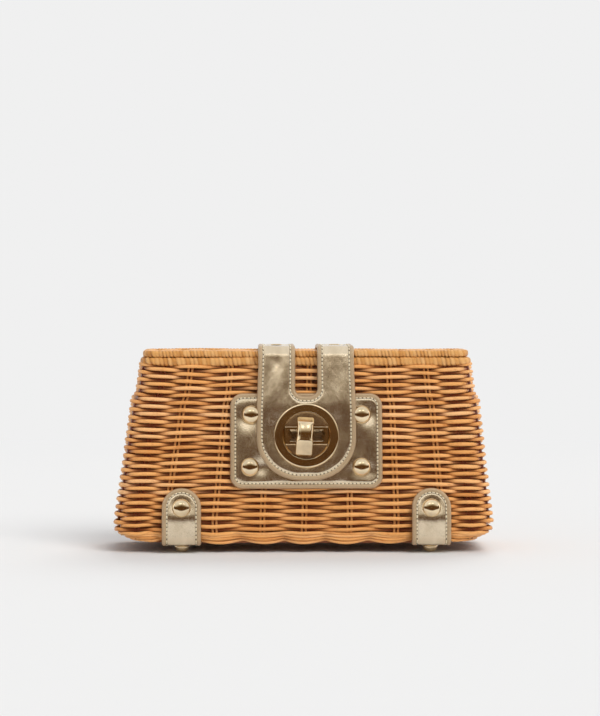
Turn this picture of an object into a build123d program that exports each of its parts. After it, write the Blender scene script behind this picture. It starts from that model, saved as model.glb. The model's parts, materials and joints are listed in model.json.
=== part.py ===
"""Woven reed clutch bag with a hinged lid, a U-shaped leather closure tab and a turn lock.

The basket is a box that narrows upwards: all four walls lean in, the side walls stand proud up to
a shoulder, and a wrapped rim carries a flat woven lid with a wrapped rim of its own. The closure
tab hangs from the lid's front edge over a riveted leather lock plate, where a turn knob holds the
slotted eyelet of the tab. Four leather foot tabs wrap under the base and carry domed feet.
Frame: +X right, -Y front, +Z up, origin on the ground under the middle of the bag. Millimetres.
"""

import math
import os

from build123d import *

os.makedirs("parts", exist_ok=True)

# Basket, measured to the line of the stakes
foot_height = 6.1
base_depth = 76.0
top_depth = 40.0
wall_top = 111.6
half_width_top = 99.6
side_slope = 0.11
shoulder_drop = 20.0

# Weave: each row of reed passes in front of one stake and behind the next
reed_radius = 1.05
wave_height = 2.0
collar_wave = 0.9
row_count = 46
plain_row_count = 23
front_spaces = 8
side_spaces = 3
fit_gap = 0.1

# Borders and rims
border_height = 4.6
border_corner = 6.0
border_bevel = 1.6
rim_height = 4.6
rim_half_width = 99.2
rim_half_depth = 22.3
rim_inner_half_width = 96.2
rim_inner_half_depth = 16.6
rim_corner = 6.0
rim_bevel = 1.4
post_inner_x = 2.0
post_outer_x = 1.0
post_inner_y = 3.0
post_outer_y = 2.2
post_round = 1.6
base_ridge_count = 15
base_ridge_height = 0.8
base_thickness = 3.6

# Lid
lid_gap = 0.3
lid_row_count = 8
lid_wave = 0.9
lid_lining_thickness = 0.7

# Leather
leather = 2.2
seat_gap = 0.15
plate_thickness = 2.4
plate_width = 91.0
plate_height = 57.0
plate_corner = 7.5
plate_rise = 60.2
edge_bevel = 0.5
tab_gap = 0.3
tab_width = 57.6
tab_slot_width = 13.0
tab_slot_rise = 87.3
tab_bottom = 26.6
tab_corner = 25.5
tab_top_z = 117.4
strap_split = 0.3
strap_front_bend = 5.2
strap_back_bend = 3.6
strap_drop = 34.0
foot_tab_width = 22.6
foot_tab_rise = 32.4
foot_tab_run = 24.0
foot_tab_bend = 4.4
foot_tab_x = 74.4

# Turn lock
lock_rise = 63.4
ring_diameter = 38.6
ring_thickness = 1.6
ring_bevel = 0.6
ring_recess_diameter = 27.2
ring_recess = 0.4
back_ring_diameter = 34.4
back_ring_thickness = 0.6
tab_hole_diameter = 29.0
collar_outer_radius = 14.4
collar_inner_radius = 13.7
slot_radius = 13.1
slot_height = 9.8
slot_clearance = 0.35
flange_radius = 13.2
flange_thickness = 0.8
barrel_radius = 3.2
barrel_plate_radius = 5.2
knob_length = 22.5
knob_width = 9.0
knob_height = 7.8
knob_end_height = 1.8
knob_bevel = 1.2
knob_clearance = 0.2
stem_radius = 2.0
stem_clearance = 0.05
stem_washer_radius = 3.2

# Studs and feet
stud_radius = 4.9
stud_height = 4.6
stud_flange_radius = 5.6
stud_flange = 0.6
shank_radius = 1.25
shank_clearance = 0.1
stud_x = 34.4
stud_rise = 15.6
tab_stud_rise = 20.4
strap_stud_drop = 24.0
foot_radius = 4.3
foot_flat_radius = 1.6
foot_inset = 12.5
pocket_radius = 3.2
pocket_depth = 1.2
head_radius = 2.6
head_height = 0.35
strap_rivet_radius = 3.4
strap_rivet_height = 0.9

# Lining
lining = 0.8
lining_gap = 0.55
lining_seat = 0.12

# Worked out from the above
wall_height = wall_top - foot_height
wall_slope = (base_depth - top_depth) / 2 / wall_height
lean = math.degrees(math.atan(wall_slope))
lean_cos = math.cos(math.radians(lean))
lean_sin = math.sin(math.radians(lean))
side_lean = math.degrees(math.atan(side_slope))
side_cos = math.cos(math.radians(side_lean))
side_sin = math.sin(math.radians(side_lean))
crest = wave_height + reed_radius
wall_start = foot_height + border_height
shoulder_z = wall_top - shoulder_drop
rim_top = wall_top + rim_height
lid_bottom = rim_top + lid_gap
lid_top = lid_bottom + rim_height
hinge_z = rim_top + lid_gap / 2
strap_x = (tab_width + tab_slot_width) / 4
strap_width = (tab_width - tab_slot_width) / 2

# Distances out from the stakes of the leaning front wall
plate_back = crest + seat_gap
plate_face = plate_back + plate_thickness
tab_back = plate_face + tab_gap
tab_face = tab_back + leather
ring_back = tab_face + 0.05
ring_face = ring_back + ring_thickness
boss_face = ring_face - ring_recess
knob_back = ring_face + knob_clearance
strap_back = crest + seat_gap
strap_face = strap_back + leather
pocket_floor = -crest + pocket_depth


def wall_y(z):
    """Half depth of the basket at height z, measured to the stakes."""
    return base_depth / 2 - (z - foot_height) * wall_slope


def half_width(z):
    """Half width of the basket at height z, measured to the stakes of the side walls."""
    return half_width_top + side_slope * (wall_top - z)


def wall_plane(side):
    """Plane of a leaning wall: x along the wall, y up it, z outwards. side is -1 front, 1 back."""
    return Plane(
        origin=(0, side * base_depth / 2, foot_height),
        x_dir=(-side, 0, 0),
        z_dir=(0, side * lean_cos, lean_sin),
    )


front = wall_plane(-1)
back = wall_plane(1)


def woven_row(place, half_length, spaces, thickness, phase, wave=wave_height, behind=crest):
    """One row of reed: a band that passes the stakes in turn in front and behind.

    place has x along the row, y away from the viewer and its origin on the line of the stakes.
    """
    stakes = [half_length * (2 * n / spaces - 1) for n in range(spaces + 1)]
    bends = [(x, -wave * (-1) ** (n + phase) - reed_radius) for n, x in enumerate(stakes)]
    with BuildPart() as row:
        with BuildSketch(place):
            with BuildLine():
                Polyline(*bends, (half_length, behind), (-half_length, behind), close=True)
            make_face()
        extrude(amount=thickness / 2, both=True)
    return row.part


def row_heights(count):
    """Middle height of each row of a wall woven in that many rows."""
    step = (wall_top - wall_start) / count
    return [wall_start + step * (n + 0.5) for n in range(count)]


def front_mat(count):
    """Mat of reed for the front wall, woven in that many rows."""
    step = (wall_top - wall_start) / count
    rows = []
    for n, z in enumerate(row_heights(count)):
        place = Plane(origin=(0, -wall_y(z), z), x_dir=(1, 0, 0), z_dir=(0, lean_sin, lean_cos))
        half = half_width(z + step / 2) - post_inner_x - fit_gap
        rows.append(woven_row(place, half, front_spaces, step / lean_cos, n))
    with BuildPart() as mat:
        add(rows)
        split(bisect_by=Plane.XY.offset(wall_top - fit_gap), keep=Keep.BOTTOM)
        split(bisect_by=Plane.XY.offset(wall_start + fit_gap), keep=Keep.TOP)
    return mat.part


# Side wall: proud below the shoulder, drawn in tightly above it
row_step = (wall_top - wall_start) / plain_row_count
side_rows = []
for n, z in enumerate(row_heights(plain_row_count)):
    row_place = Plane(origin=(half_width(z), 0, z), x_dir=(0, 1, 0), z_dir=(-side_sin, 0, side_cos))
    row_half = wall_y(z + row_step / 2) - crest / lean_cos - fit_gap
    if z < shoulder_z:
        row_wave = wave_height
    else:
        row_wave = collar_wave - reed_radius + 0.15
    side_rows.append(woven_row(row_place, row_half, side_spaces, row_step / side_cos, n, row_wave))

with BuildPart() as right_side_panel:
    add(side_rows)
    split(bisect_by=Plane.XY.offset(wall_top - fit_gap), keep=Keep.BOTTOM)
    split(bisect_by=Plane.XY.offset(wall_start + fit_gap), keep=Keep.TOP)

with BuildPart() as left_side_panel:
    mirror(right_side_panel.part, about=Plane.YZ)

# Corner posts: rounded uprights that close the corners between the mats
post_z = wall_start + fit_gap
post_rise = wall_top - fit_gap - post_z
post_foot_x = half_width(post_z)
post_foot_y = wall_y(post_z)
with BuildPart() as corner_post:
    with BuildSketch(Plane.XY.offset(post_z)) as post_section:
        with Locations((post_foot_x - post_inner_x, -post_foot_y + post_inner_y)):
            Rectangle(
                post_inner_x + post_outer_x,
                post_inner_y + post_outer_y,
                align=(Align.MIN, Align.MAX),
            )
        outer_corner = post_section.vertices().sort_by(Axis.X)[-2:].sort_by(Axis.Y)[0]
        fillet(outer_corner, radius=post_round)
    extrude(
        amount=post_rise * math.sqrt(1 + side_slope**2 + wall_slope**2),
        dir=(-side_slope, wall_slope, 1),
    )

with BuildPart() as corner_posts:
    add(corner_post.part)
    mirror(about=Plane.YZ)
    mirror(about=Plane.XZ)


def ring_bar(z, height, half_x, half_y, hole_x, hole_y, corner):
    """Rounded rectangular bar lying at height z around the basket."""
    with BuildPart() as bar:
        with BuildSketch(Plane.XY.offset(z)):
            RectangleRounded(2 * half_x, 2 * half_y, corner)
            Rectangle(2 * hole_x, 2 * hole_y, mode=Mode.SUBTRACT)
        extrude(amount=height)
    return bar.part


# Base: a border the walls stand on and a ridged mat inside it
border_half_x = half_width(wall_start) + wave_height + reed_radius
border_half_y = wall_y(wall_start) + crest / lean_cos
border_hole_x = half_width(wall_start) - crest / side_cos
border_hole_y = wall_y(wall_start) - crest / lean_cos
with BuildPart() as base_border:
    add(
        ring_bar(
            foot_height,
            border_height,
            border_half_x,
            border_half_y,
            border_hole_x,
            border_hole_y,
            border_corner,
        )
    )
    outer_bottom = base_border.faces().sort_by(Axis.Z)[0].outer_wire().edges()
    chamfer(outer_bottom, length=border_bevel)

base_top = wall_start - fit_gap
base_bottom = base_top - base_thickness
base_half_x = border_hole_x - fit_gap
base_half_y = border_hole_y - fit_gap
ridge_step = 2 * base_half_y / base_ridge_count
with BuildPart() as base_panel:
    with BuildSketch(Plane.YZ):
        with BuildLine():
            valleys = [
                (-base_half_y + n * ridge_step / 2, base_bottom - base_ridge_height * (n % 2))
                for n in range(2 * base_ridge_count + 1)
            ]
            Polyline(*valleys, (base_half_y, base_top), (-base_half_y, base_top), close=True)
        make_face()
    extrude(amount=base_half_x, both=True)

# Rims: wrapped bars at the top of the basket and round the lid
with BuildPart() as body_rim:
    add(
        ring_bar(
            wall_top,
            rim_height,
            rim_half_width,
            rim_half_depth,
            rim_inner_half_width,
            rim_inner_half_depth,
            rim_corner,
        )
    )
    outer_edges = body_rim.faces().sort_by(Axis.Z)[0].outer_wire().edges()
    outer_edges = outer_edges + body_rim.faces().sort_by(Axis.Z)[-1].outer_wire().edges()
    chamfer(outer_edges, length=rim_bevel)

with BuildPart() as lid_rim:
    with Locations((0, 0, rim_height + lid_gap)):
        add(body_rim.part)

# Lid mat and its lining, held inside the lid's rim
lid_half_x = rim_inner_half_width - fit_gap
lid_half_y = rim_inner_half_depth - fit_gap
lid_step = 2 * lid_half_y / lid_row_count
lid_mat_z = lid_top - reed_radius - lid_wave - 0.4
lid_mat_under = lid_wave + reed_radius
lid_rows = []
for n in range(lid_row_count):
    y = -lid_half_y + lid_step * (n + 0.5)
    row_place = Plane(origin=(0, y, lid_mat_z), x_dir=(1, 0, 0), z_dir=(0, 1, 0))
    lid_rows.append(
        woven_row(row_place, lid_half_x, front_spaces, lid_step, n, lid_wave, lid_mat_under)
    )

lid_lining_top = lid_mat_z - lid_mat_under - fit_gap
with BuildPart() as lid_lining_sheet:
    with BuildSketch(Plane.XY.offset(lid_lining_top)):
        Rectangle(2 * lid_half_x, 2 * lid_half_y)
    extrude(amount=-lid_lining_thickness)

# Lining of the basket: a thin open box
lining_foot = base_top + lining_seat
lining_top = rim_top - 0.4


def lining_block(foot, top, inset):
    """Solid with the slope of the walls, inset from the inner faces of the mats."""
    with BuildPart() as block:
        for z in (foot, top):
            with BuildSketch(Plane.XY.offset(z)):
                Rectangle(
                    2 * (half_width(z) - crest / side_cos - inset),
                    2 * (wall_y(z) - crest / lean_cos - inset),
                )
        loft()
    return block.part


with BuildPart() as lining_box:
    add(lining_block(lining_foot, lining_top, lining_gap))
    add(lining_block(lining_foot + lining, lining_top, lining_gap + lining), mode=Mode.SUBTRACT)


# Studs and feet, drawn about their own axis with z = 0 on the surface they sit on
dome_rise = stud_height - stud_flange
dome_curve = (stud_radius**2 + dome_rise**2) / (2 * dome_rise)
dome_facets = 3


def dome_points(radius, rise, curve, facets):
    """Points of a dome's profile from its edge to its crown, on an arc about its axis."""
    reach = math.asin(radius / curve)
    return [
        (curve * math.sin(reach * (1 - n / facets)), rise - curve * (1 - math.cos(reach * (1 - n / facets))))
        for n in range(facets + 1)
    ]


def stud_shape(shank_length):
    """Domed stud on a bevelled foot, with its shank and riveted head below."""
    with BuildPart() as stud:
        with BuildSketch(Plane.XZ):
            with BuildLine():
                dome = dome_points(stud_radius, stud_height, dome_curve, dome_facets)
                Polyline((0, 0), (stud_flange_radius, 0), *dome, close=True)
            make_face()
        revolve(axis=Axis.Z)
        with Locations((0, 0, -shank_length)):
            Cylinder(shank_radius, shank_length, align=(Align.CENTER, Align.CENTER, Align.MIN))
            Cylinder(head_radius, head_height, align=(Align.CENTER, Align.CENTER, Align.MIN))
    return stud.part


shank_end = -crest - 0.05 - head_height

plate_stud_places = [(x, plate_rise + y) for x in (-stud_x, stud_x) for y in (-stud_rise, stud_rise)]
tab_stud_places = [(x, tab_stud_rise) for x in (-foot_tab_x, foot_tab_x)]
strap_stud_v = (wall_top - foot_height) / lean_cos - strap_stud_drop
strap_stud_places = [(x, strap_stud_v) for x in (-strap_x, strap_x)]

with BuildPart() as domed_studs:
    with Locations(front.offset(plate_face + 0.05)):
        with Locations(*plate_stud_places):
            add(stud_shape(plate_face + 0.05 - shank_end))
    with Locations(front.offset(strap_face + 0.05)):
        with Locations(*tab_stud_places):
            add(stud_shape(strap_face + 0.05 - shank_end))
    with Locations(back.offset(strap_face + 0.05)):
        with Locations(*tab_stud_places, *strap_stud_places):
            add(stud_shape(strap_face + 0.05 - shank_end))

foot_y = base_depth / 2 + crest - foot_inset
foot_places = [(x, y) for x in (-foot_tab_x, foot_tab_x) for y in (-foot_y, foot_y)]
base_pocket_floor = base_top - pocket_depth
foot_tab_under = foot_height - seat_gap - leather
foot_seat = foot_tab_under - 0.05
with BuildPart() as foot_shape:
    with BuildSketch(Plane.XZ):
        with BuildLine():
            Polyline(
                (0, foot_seat),
                (foot_radius, foot_seat),
                (foot_radius, foot_seat - 1.0),
                (foot_radius - 0.6, foot_seat - 2.1),
                (foot_radius - 1.6, foot_seat - 3.1),
                (foot_flat_radius, 0),
                (0, 0),
                close=True,
            )
        make_face()
    revolve(axis=Axis.Z)
    with Locations((0, 0, foot_seat)):
        Cylinder(
            shank_radius,
            base_pocket_floor + fit_gap + head_height - foot_seat,
            align=(Align.CENTER, Align.CENTER, Align.MIN),
        )
    with Locations((0, 0, base_pocket_floor + fit_gap)):
        Cylinder(head_radius, head_height, align=(Align.CENTER, Align.CENTER, Align.MIN))

with BuildPart() as foot_studs:
    with Locations(*foot_places):
        add(foot_shape.part)


def drilled(mat, wall, places):
    """A wall mat with the holes for the studs' shanks."""
    with BuildPart() as panel:
        add(mat)
        with Locations(wall):
            with Locations(*places):
                Cylinder(shank_radius + shank_clearance, 4 * crest, mode=Mode.SUBTRACT)
    return panel.part


with BuildPart() as front_panel:
    add(drilled(front_mat(row_count), front, plate_stud_places + tab_stud_places))
    with Locations(front):
        with Locations((0, lock_rise)):
            Cylinder(barrel_radius + shank_clearance, 4 * crest, mode=Mode.SUBTRACT)
    with Locations(front.offset(pocket_floor)):
        with Locations((0, lock_rise)):
            Cylinder(
                barrel_plate_radius + 0.2,
                2 * pocket_depth,
                align=(Align.CENTER, Align.CENTER, Align.MAX),
                mode=Mode.SUBTRACT,
            )

with BuildPart() as plain_mat:
    add(front_mat(plain_row_count))

with BuildPart() as turned_mat:
    mirror(plain_mat.part, about=Plane.XZ)

with BuildPart() as back_panel:
    add(drilled(turned_mat.part, back, tab_stud_places + strap_stud_places))

with BuildPart() as drilled_base:
    add(base_panel.part)
    with Locations((0, 0, base_top)):
        with Locations(*foot_places):
            Cylinder(shank_radius + shank_clearance, 4 * base_thickness, mode=Mode.SUBTRACT)
            Cylinder(pocket_radius, 2 * pocket_depth, mode=Mode.SUBTRACT)

# Lock plate: stitched leather patch on the front wall
with BuildPart() as lock_plate:
    with BuildSketch(front.offset(plate_back)):
        with Locations((0, plate_rise)):
            RectangleRounded(plate_width, plate_height, plate_corner)
        with Locations(*plate_stud_places):
            Circle(shank_radius + shank_clearance, mode=Mode.SUBTRACT)
        with Locations((0, lock_rise)):
            Circle(barrel_radius + shank_clearance, mode=Mode.SUBTRACT)
    extrude(amount=plate_thickness)
    face_edges = lock_plate.faces().sort_by(Axis((0, 0, 0), front.z_dir))[-1].outer_wire().edges()
    chamfer(face_edges, length=edge_bevel)


def bent_strip(inner, outer, inner_bend, outer_bend, width, x):
    """Leather strip of constant thickness that follows a bent path in the YZ plane."""
    with BuildPart() as strip:
        with BuildSketch(Plane.YZ.offset(x)):
            with BuildLine():
                FilletPolyline(*inner, radius=inner_bend)
                FilletPolyline(*outer, radius=outer_bend)
                Line(inner[0], outer[0])
                Line(inner[-1], outer[-1])
            make_face()
        extrude(amount=width / 2, both=True)
    return strip.part


def wall_point(distance, z):
    """(y, z) of the point at height z, at a distance out from the front wall's stakes."""
    return (-wall_y(z) - distance / lean_cos, z)


# Foot tabs: rounded tops on the wall, wrapped under the base
foot_inner_z = foot_height - seat_gap
foot_tab_top = foot_height + foot_tab_rise * lean_cos + 6
foot_tab_end = -border_half_y + foot_tab_run
foot_inner = [
    wall_point(strap_back, foot_tab_top),
    wall_point(strap_back, foot_inner_z),
    (foot_tab_end, foot_inner_z),
]
foot_outer = [
    wall_point(strap_face, foot_tab_top),
    wall_point(strap_face, foot_tab_under),
    (foot_tab_end, foot_tab_under),
]
with BuildPart() as foot_tab:
    add(bent_strip(foot_inner, foot_outer, foot_tab_bend - leather, foot_tab_bend, foot_tab_width, foot_tab_x))
    with BuildSketch(front.offset(-60)) as tab_front:
        with BuildLine():
            tab_left = foot_tab_x - foot_tab_width / 2
            tab_right = foot_tab_x + foot_tab_width / 2
            tab_round = foot_tab_width / 2
            Line((tab_left, -20), (tab_left, foot_tab_rise - tab_round))
            RadiusArc(
                (tab_left, foot_tab_rise - tab_round),
                (tab_right, foot_tab_rise - tab_round),
                tab_round + 0.01,
            )
            Line((tab_right, foot_tab_rise - tab_round), (tab_right, -20))
            Line((tab_right, -20), (tab_left, -20))
        make_face()
    extrude(amount=90, mode=Mode.INTERSECT)
    with Locations(front.offset(strap_back)):
        with Locations((foot_tab_x, tab_stud_rise)):
            Cylinder(shank_radius + shank_clearance, 4 * leather, mode=Mode.SUBTRACT)
    with Locations((foot_tab_x, -foot_y, foot_tab_under)):
        Cylinder(shank_radius + shank_clearance, 4 * leather, mode=Mode.SUBTRACT)

with BuildPart() as front_foot_tabs:
    add(foot_tab.part)
    mirror(about=Plane.YZ)

with BuildPart() as back_foot_tabs:
    mirror(front_foot_tabs.part, about=Plane.XZ)

# Back straps: from the lid's hinge line down the back wall
back_wall_height = (wall_top - foot_height) / lean_cos
with BuildPart() as back_strap_right:
    with BuildSketch(back.offset(strap_back)):
        with Locations((-strap_x, back_wall_height + 10)):
            Rectangle(strap_width, strap_drop + 10 - strap_width / 2, align=(Align.CENTER, Align.MAX))
        with Locations((-strap_x, back_wall_height - strap_drop + strap_width / 2)):
            Circle(strap_width / 2)
        with Locations((-strap_x, strap_stud_v)):
            Circle(shank_radius + shank_clearance, mode=Mode.SUBTRACT)
    extrude(amount=leather)
    split(bisect_by=Plane.XY.offset(hinge_z - strap_split / 2), keep=Keep.BOTTOM)

with BuildPart() as back_strap_left:
    mirror(back_strap_right.part, about=Plane.YZ)

# Closure tab: two arms joined by a rounded bottom, hanging over the lock plate
tab_hinge_v = (tab_top_z - foot_height - tab_face * lean_sin) / lean_cos
tab_foot_v = lock_rise - tab_bottom
with BuildPart() as closure_tab:
    with BuildSketch(front.offset(tab_back)):
        with BuildLine():
            tab_half = tab_width / 2
            Line((-tab_half, tab_hinge_v), (-tab_half, tab_foot_v + tab_corner))
            Line((tab_half, tab_hinge_v), (tab_half, tab_foot_v + tab_corner))
            JernArc((-tab_half, tab_foot_v + tab_corner), (0, -1), tab_corner, 90)
            JernArc((tab_half, tab_foot_v + tab_corner), (0, -1), tab_corner, -90)
            Line((-tab_half + tab_corner, tab_foot_v), (tab_half - tab_corner, tab_foot_v))
            Line((-tab_half, tab_hinge_v), (tab_half, tab_hinge_v))
        make_face()
        with Locations((0, tab_slot_rise + tab_slot_width / 2)):
            Circle(tab_slot_width / 2, mode=Mode.SUBTRACT)
            Rectangle(tab_slot_width, 60, align=(Align.CENTER, Align.MIN), mode=Mode.SUBTRACT)
        with Locations((0, lock_rise)):
            Circle(tab_hole_diameter / 2, mode=Mode.SUBTRACT)
    extrude(amount=leather)
    with BuildSketch(front.offset(tab_back)):
        with Locations((0, lock_rise)):
            Circle(back_ring_diameter / 2 + 0.1)
            Circle(tab_hole_diameter / 2, mode=Mode.SUBTRACT)
    extrude(amount=back_ring_thickness + 0.05, mode=Mode.SUBTRACT)

# Lid straps: the arms of the tab carried over the lid to its back edge
strap_seat = lid_top + seat_gap
back_seat_y = rim_half_depth + seat_gap
strap_front_z = tab_top_z + strap_split
front_top = strap_seat + leather
strap_inner = [
    wall_point(tab_back, strap_front_z),
    wall_point(tab_back, strap_seat),
    (back_seat_y, strap_seat),
    (back_seat_y, hinge_z + strap_split / 2),
]
strap_outer = [
    wall_point(tab_face, strap_front_z),
    wall_point(tab_face, front_top),
    (back_seat_y + leather, front_top),
    (back_seat_y + leather, hinge_z + strap_split / 2),
]
strap_rivet_places = [(strap_x, 0)]
with BuildPart() as lid_strap_right:
    add(
        bent_strip(
            strap_inner,
            strap_outer,
            (strap_front_bend - leather, strap_back_bend - leather),
            (strap_front_bend, strap_back_bend),
            strap_width,
            strap_x,
        )
    )
    with Locations((0, 0, strap_seat)):
        with Locations(*strap_rivet_places):
            Cylinder(shank_radius + shank_clearance, 4 * leather, mode=Mode.SUBTRACT)

with BuildPart() as lid_strap_left:
    mirror(lid_strap_right.part, about=Plane.YZ)

lid_rivet_places = [(-strap_x, 0), (strap_x, 0)]
lid_rivet_end = lid_mat_z - lid_mat_under + 0.3
with BuildPart() as lid_rivet:
    with Locations((0, 0, front_top + 0.05)):
        Cylinder(
            strap_rivet_radius,
            strap_rivet_height,
            align=(Align.CENTER, Align.CENTER, Align.MIN),
        )
    with Locations((0, 0, lid_rivet_end)):
        Cylinder(
            shank_radius,
            front_top + 0.1 - lid_rivet_end,
            align=(Align.CENTER, Align.CENTER, Align.MIN),
        )

with BuildPart() as lid_rivets:
    with Locations(*lid_rivet_places):
        add(lid_rivet.part)

with BuildPart() as lid_panel:
    add(lid_rows)
    with Locations(*[(x, y, lid_mat_z) for x, y in lid_rivet_places]):
        Cylinder(shank_radius + shank_clearance, 4 * lid_wave + 6, mode=Mode.SUBTRACT)

# Eyelet of the tab: slotted disc with a collar through the leather, clinched on a ring behind
def slot_outline(radius, height):
    """Slot with straight sides and ends rounded about the lock's axis."""
    with BuildSketch() as outline:
        Circle(radius)
        Rectangle(3 * radius, height, mode=Mode.INTERSECT)
    return outline.sketch


with BuildPart() as eyelet_disc:
    with BuildSketch(front.offset(ring_back)):
        with Locations((0, lock_rise)):
            Circle(ring_diameter / 2)
    extrude(amount=ring_thickness)
    rim_edge = eyelet_disc.faces().sort_by(Axis((0, 0, 0), front.z_dir))[-1].outer_wire().edges()
    chamfer(rim_edge, length=ring_bevel)
    with BuildSketch(front.offset(boss_face)):
        with Locations((0, lock_rise)):
            Circle(ring_recess_diameter / 2)
    extrude(amount=ring_thickness, mode=Mode.SUBTRACT)
    with BuildSketch(front.offset(tab_back + 0.05)):
        with Locations((0, lock_rise)):
            Circle(collar_outer_radius)
            Circle(collar_inner_radius, mode=Mode.SUBTRACT)
    extrude(amount=leather)
    with BuildSketch(front.offset(ring_back - 0.5)):
        with Locations((0, lock_rise)):
            add(slot_outline(slot_radius, slot_height))
    extrude(amount=2 * ring_thickness, mode=Mode.SUBTRACT)

with BuildPart() as eyelet_clinch_ring:
    with BuildSketch(front.offset(tab_back)):
        with Locations((0, lock_rise)):
            Circle(back_ring_diameter / 2)
            Circle(collar_outer_radius + 0.02, mode=Mode.SUBTRACT)
    extrude(amount=back_ring_thickness)

# Turn lock: base clinched through plate and wall, knob on a stem that turns inside its barrel
barrel_end = pocket_floor - 0.5
with BuildPart() as lock_base:
    with BuildSketch(front.offset(plate_face + 0.05)):
        with Locations((0, lock_rise)):
            Circle(flange_radius)
    extrude(amount=flange_thickness)
    with BuildSketch(front.offset(plate_face + 0.05)):
        with Locations((0, lock_rise)):
            add(slot_outline(slot_radius - slot_clearance, slot_height - 2 * slot_clearance))
    extrude(amount=boss_face - plate_face - 0.05)
    with BuildSketch(front.offset(barrel_end)):
        with Locations((0, lock_rise)):
            Circle(barrel_radius)
    extrude(amount=plate_face + 0.1 - barrel_end)
    with Locations(front):
        with Locations((0, lock_rise)):
            Cylinder(stem_radius + stem_clearance, 60, mode=Mode.SUBTRACT)

with BuildPart() as lock_back_plate:
    with BuildSketch(front.offset(pocket_floor - 0.05)):
        with Locations((0, lock_rise)):
            Circle(barrel_plate_radius)
            Circle(barrel_radius + 0.02, mode=Mode.SUBTRACT)
    extrude(amount=-0.4)

knob_half = knob_length / 2
stem_end = -crest + 0.05
knob_plane = Plane(
    origin=front.origin + front.y_dir * lock_rise + front.z_dir * knob_back,
    x_dir=front.y_dir,
    z_dir=front.x_dir,
)
with BuildPart() as turn_knob:
    with BuildSketch(knob_plane):
        with BuildLine():
            Line((-knob_half, 0), (knob_half, 0))
            Line((-knob_half, 0), (-knob_half, knob_end_height))
            Line((knob_half, 0), (knob_half, knob_end_height))
            ThreePointArc((-knob_half, knob_end_height), (0, knob_height), (knob_half, knob_end_height))
        make_face()
    extrude(amount=knob_width / 2, both=True)
    crown_edges = turn_knob.edges().filter_by(GeomType.CIRCLE)
    chamfer(crown_edges, length=knob_bevel)
    with Locations(front.offset(knob_back + 0.4)):
        with Locations((0, lock_rise)):
            Cylinder(
                stem_radius,
                knob_back + 0.4 - stem_end,
                align=(Align.CENTER, Align.CENTER, Align.MAX),
            )

with BuildPart() as stem_washer:
    with BuildSketch(front.offset(barrel_end - 0.05)):
        with Locations((0, lock_rise)):
            Circle(stem_washer_radius)
            Circle(stem_radius + 0.02, mode=Mode.SUBTRACT)
    extrude(amount=-0.5)

# One STEP file for each part
pieces = {
    "front_panel": front_panel.part,
    "back_panel": back_panel.part,
    "left_side_panel": left_side_panel.part,
    "right_side_panel": right_side_panel.part,
    "corner_posts": corner_posts.part,
    "base_border": base_border.part,
    "base_panel": drilled_base.part,
    "body_rim": body_rim.part,
    "lining_box": lining_box.part,
    "lid_rim": lid_rim.part,
    "lid_panel": lid_panel.part,
    "lid_lining_sheet": lid_lining_sheet.part,
    "lid_strap_left": lid_strap_left.part,
    "lid_strap_right": lid_strap_right.part,
    "lid_rivets": lid_rivets.part,
    "back_strap_left": back_strap_left.part,
    "back_strap_right": back_strap_right.part,
    "closure_tab": closure_tab.part,
    "eyelet_disc": eyelet_disc.part,
    "eyelet_clinch_ring": eyelet_clinch_ring.part,
    "lock_plate": lock_plate.part,
    "lock_base": lock_base.part,
    "lock_back_plate": lock_back_plate.part,
    "turn_knob": turn_knob.part,
    "stem_washer": stem_washer.part,
    "front_foot_tabs": front_foot_tabs.part,
    "back_foot_tabs": back_foot_tabs.part,
    "domed_studs": domed_studs.part,
    "foot_studs": foot_studs.part,
}
for name, piece in pieces.items():
    piece.label = name
    export_step(piece, f"parts/{name}.step")
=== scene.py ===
import json
import math
import random

import bpy
import numpy as np
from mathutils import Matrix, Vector
from mathutils.geometry import delaunay_2d_cdt

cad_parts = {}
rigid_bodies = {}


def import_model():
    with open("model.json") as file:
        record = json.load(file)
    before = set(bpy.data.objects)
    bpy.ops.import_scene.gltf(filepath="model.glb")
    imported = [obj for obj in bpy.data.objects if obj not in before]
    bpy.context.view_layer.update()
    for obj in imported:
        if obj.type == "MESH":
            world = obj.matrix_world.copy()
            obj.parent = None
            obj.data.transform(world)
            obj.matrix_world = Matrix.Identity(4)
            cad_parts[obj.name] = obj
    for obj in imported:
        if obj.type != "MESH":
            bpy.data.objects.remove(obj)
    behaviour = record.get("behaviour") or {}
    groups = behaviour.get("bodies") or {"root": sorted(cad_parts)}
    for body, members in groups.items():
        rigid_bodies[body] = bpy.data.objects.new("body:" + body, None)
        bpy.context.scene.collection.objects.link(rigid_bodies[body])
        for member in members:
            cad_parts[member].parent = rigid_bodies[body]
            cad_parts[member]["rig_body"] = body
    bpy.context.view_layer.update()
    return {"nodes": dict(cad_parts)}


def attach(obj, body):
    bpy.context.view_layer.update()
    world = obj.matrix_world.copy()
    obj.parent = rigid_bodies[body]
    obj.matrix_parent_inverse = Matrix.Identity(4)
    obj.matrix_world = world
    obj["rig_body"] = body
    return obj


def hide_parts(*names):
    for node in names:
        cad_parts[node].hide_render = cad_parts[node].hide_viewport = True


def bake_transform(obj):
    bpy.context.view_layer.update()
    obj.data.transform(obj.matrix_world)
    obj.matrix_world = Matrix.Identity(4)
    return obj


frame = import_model()

# sizes, in millimetres
FRONT_Y = 38.0
FLOOR_Z = 6.1
LEAN = 0.1706156
UP = np.array([0.0, 0.1681857, 0.9857553])
OUT = np.array([0.0, -0.9857553, 0.1681857])
WALL_LOW = 10.7
WALL_TOP = 111.6
SHOULDER = 92.4
ROWS = 46
PITCH = (WALL_TOP - WALL_LOW) / ROWS
WALL_FACE = 3.2
LID_TOP = 121.25
LEATHER = 2.2
SEAM_HEIGHT = 1.92
SEAM_INSET = 3.0
SEAM_PITCH = 2.3

X_AXIS, Y_AXIS, Z_AXIS = np.eye(3)
rng = random.Random(11)

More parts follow.
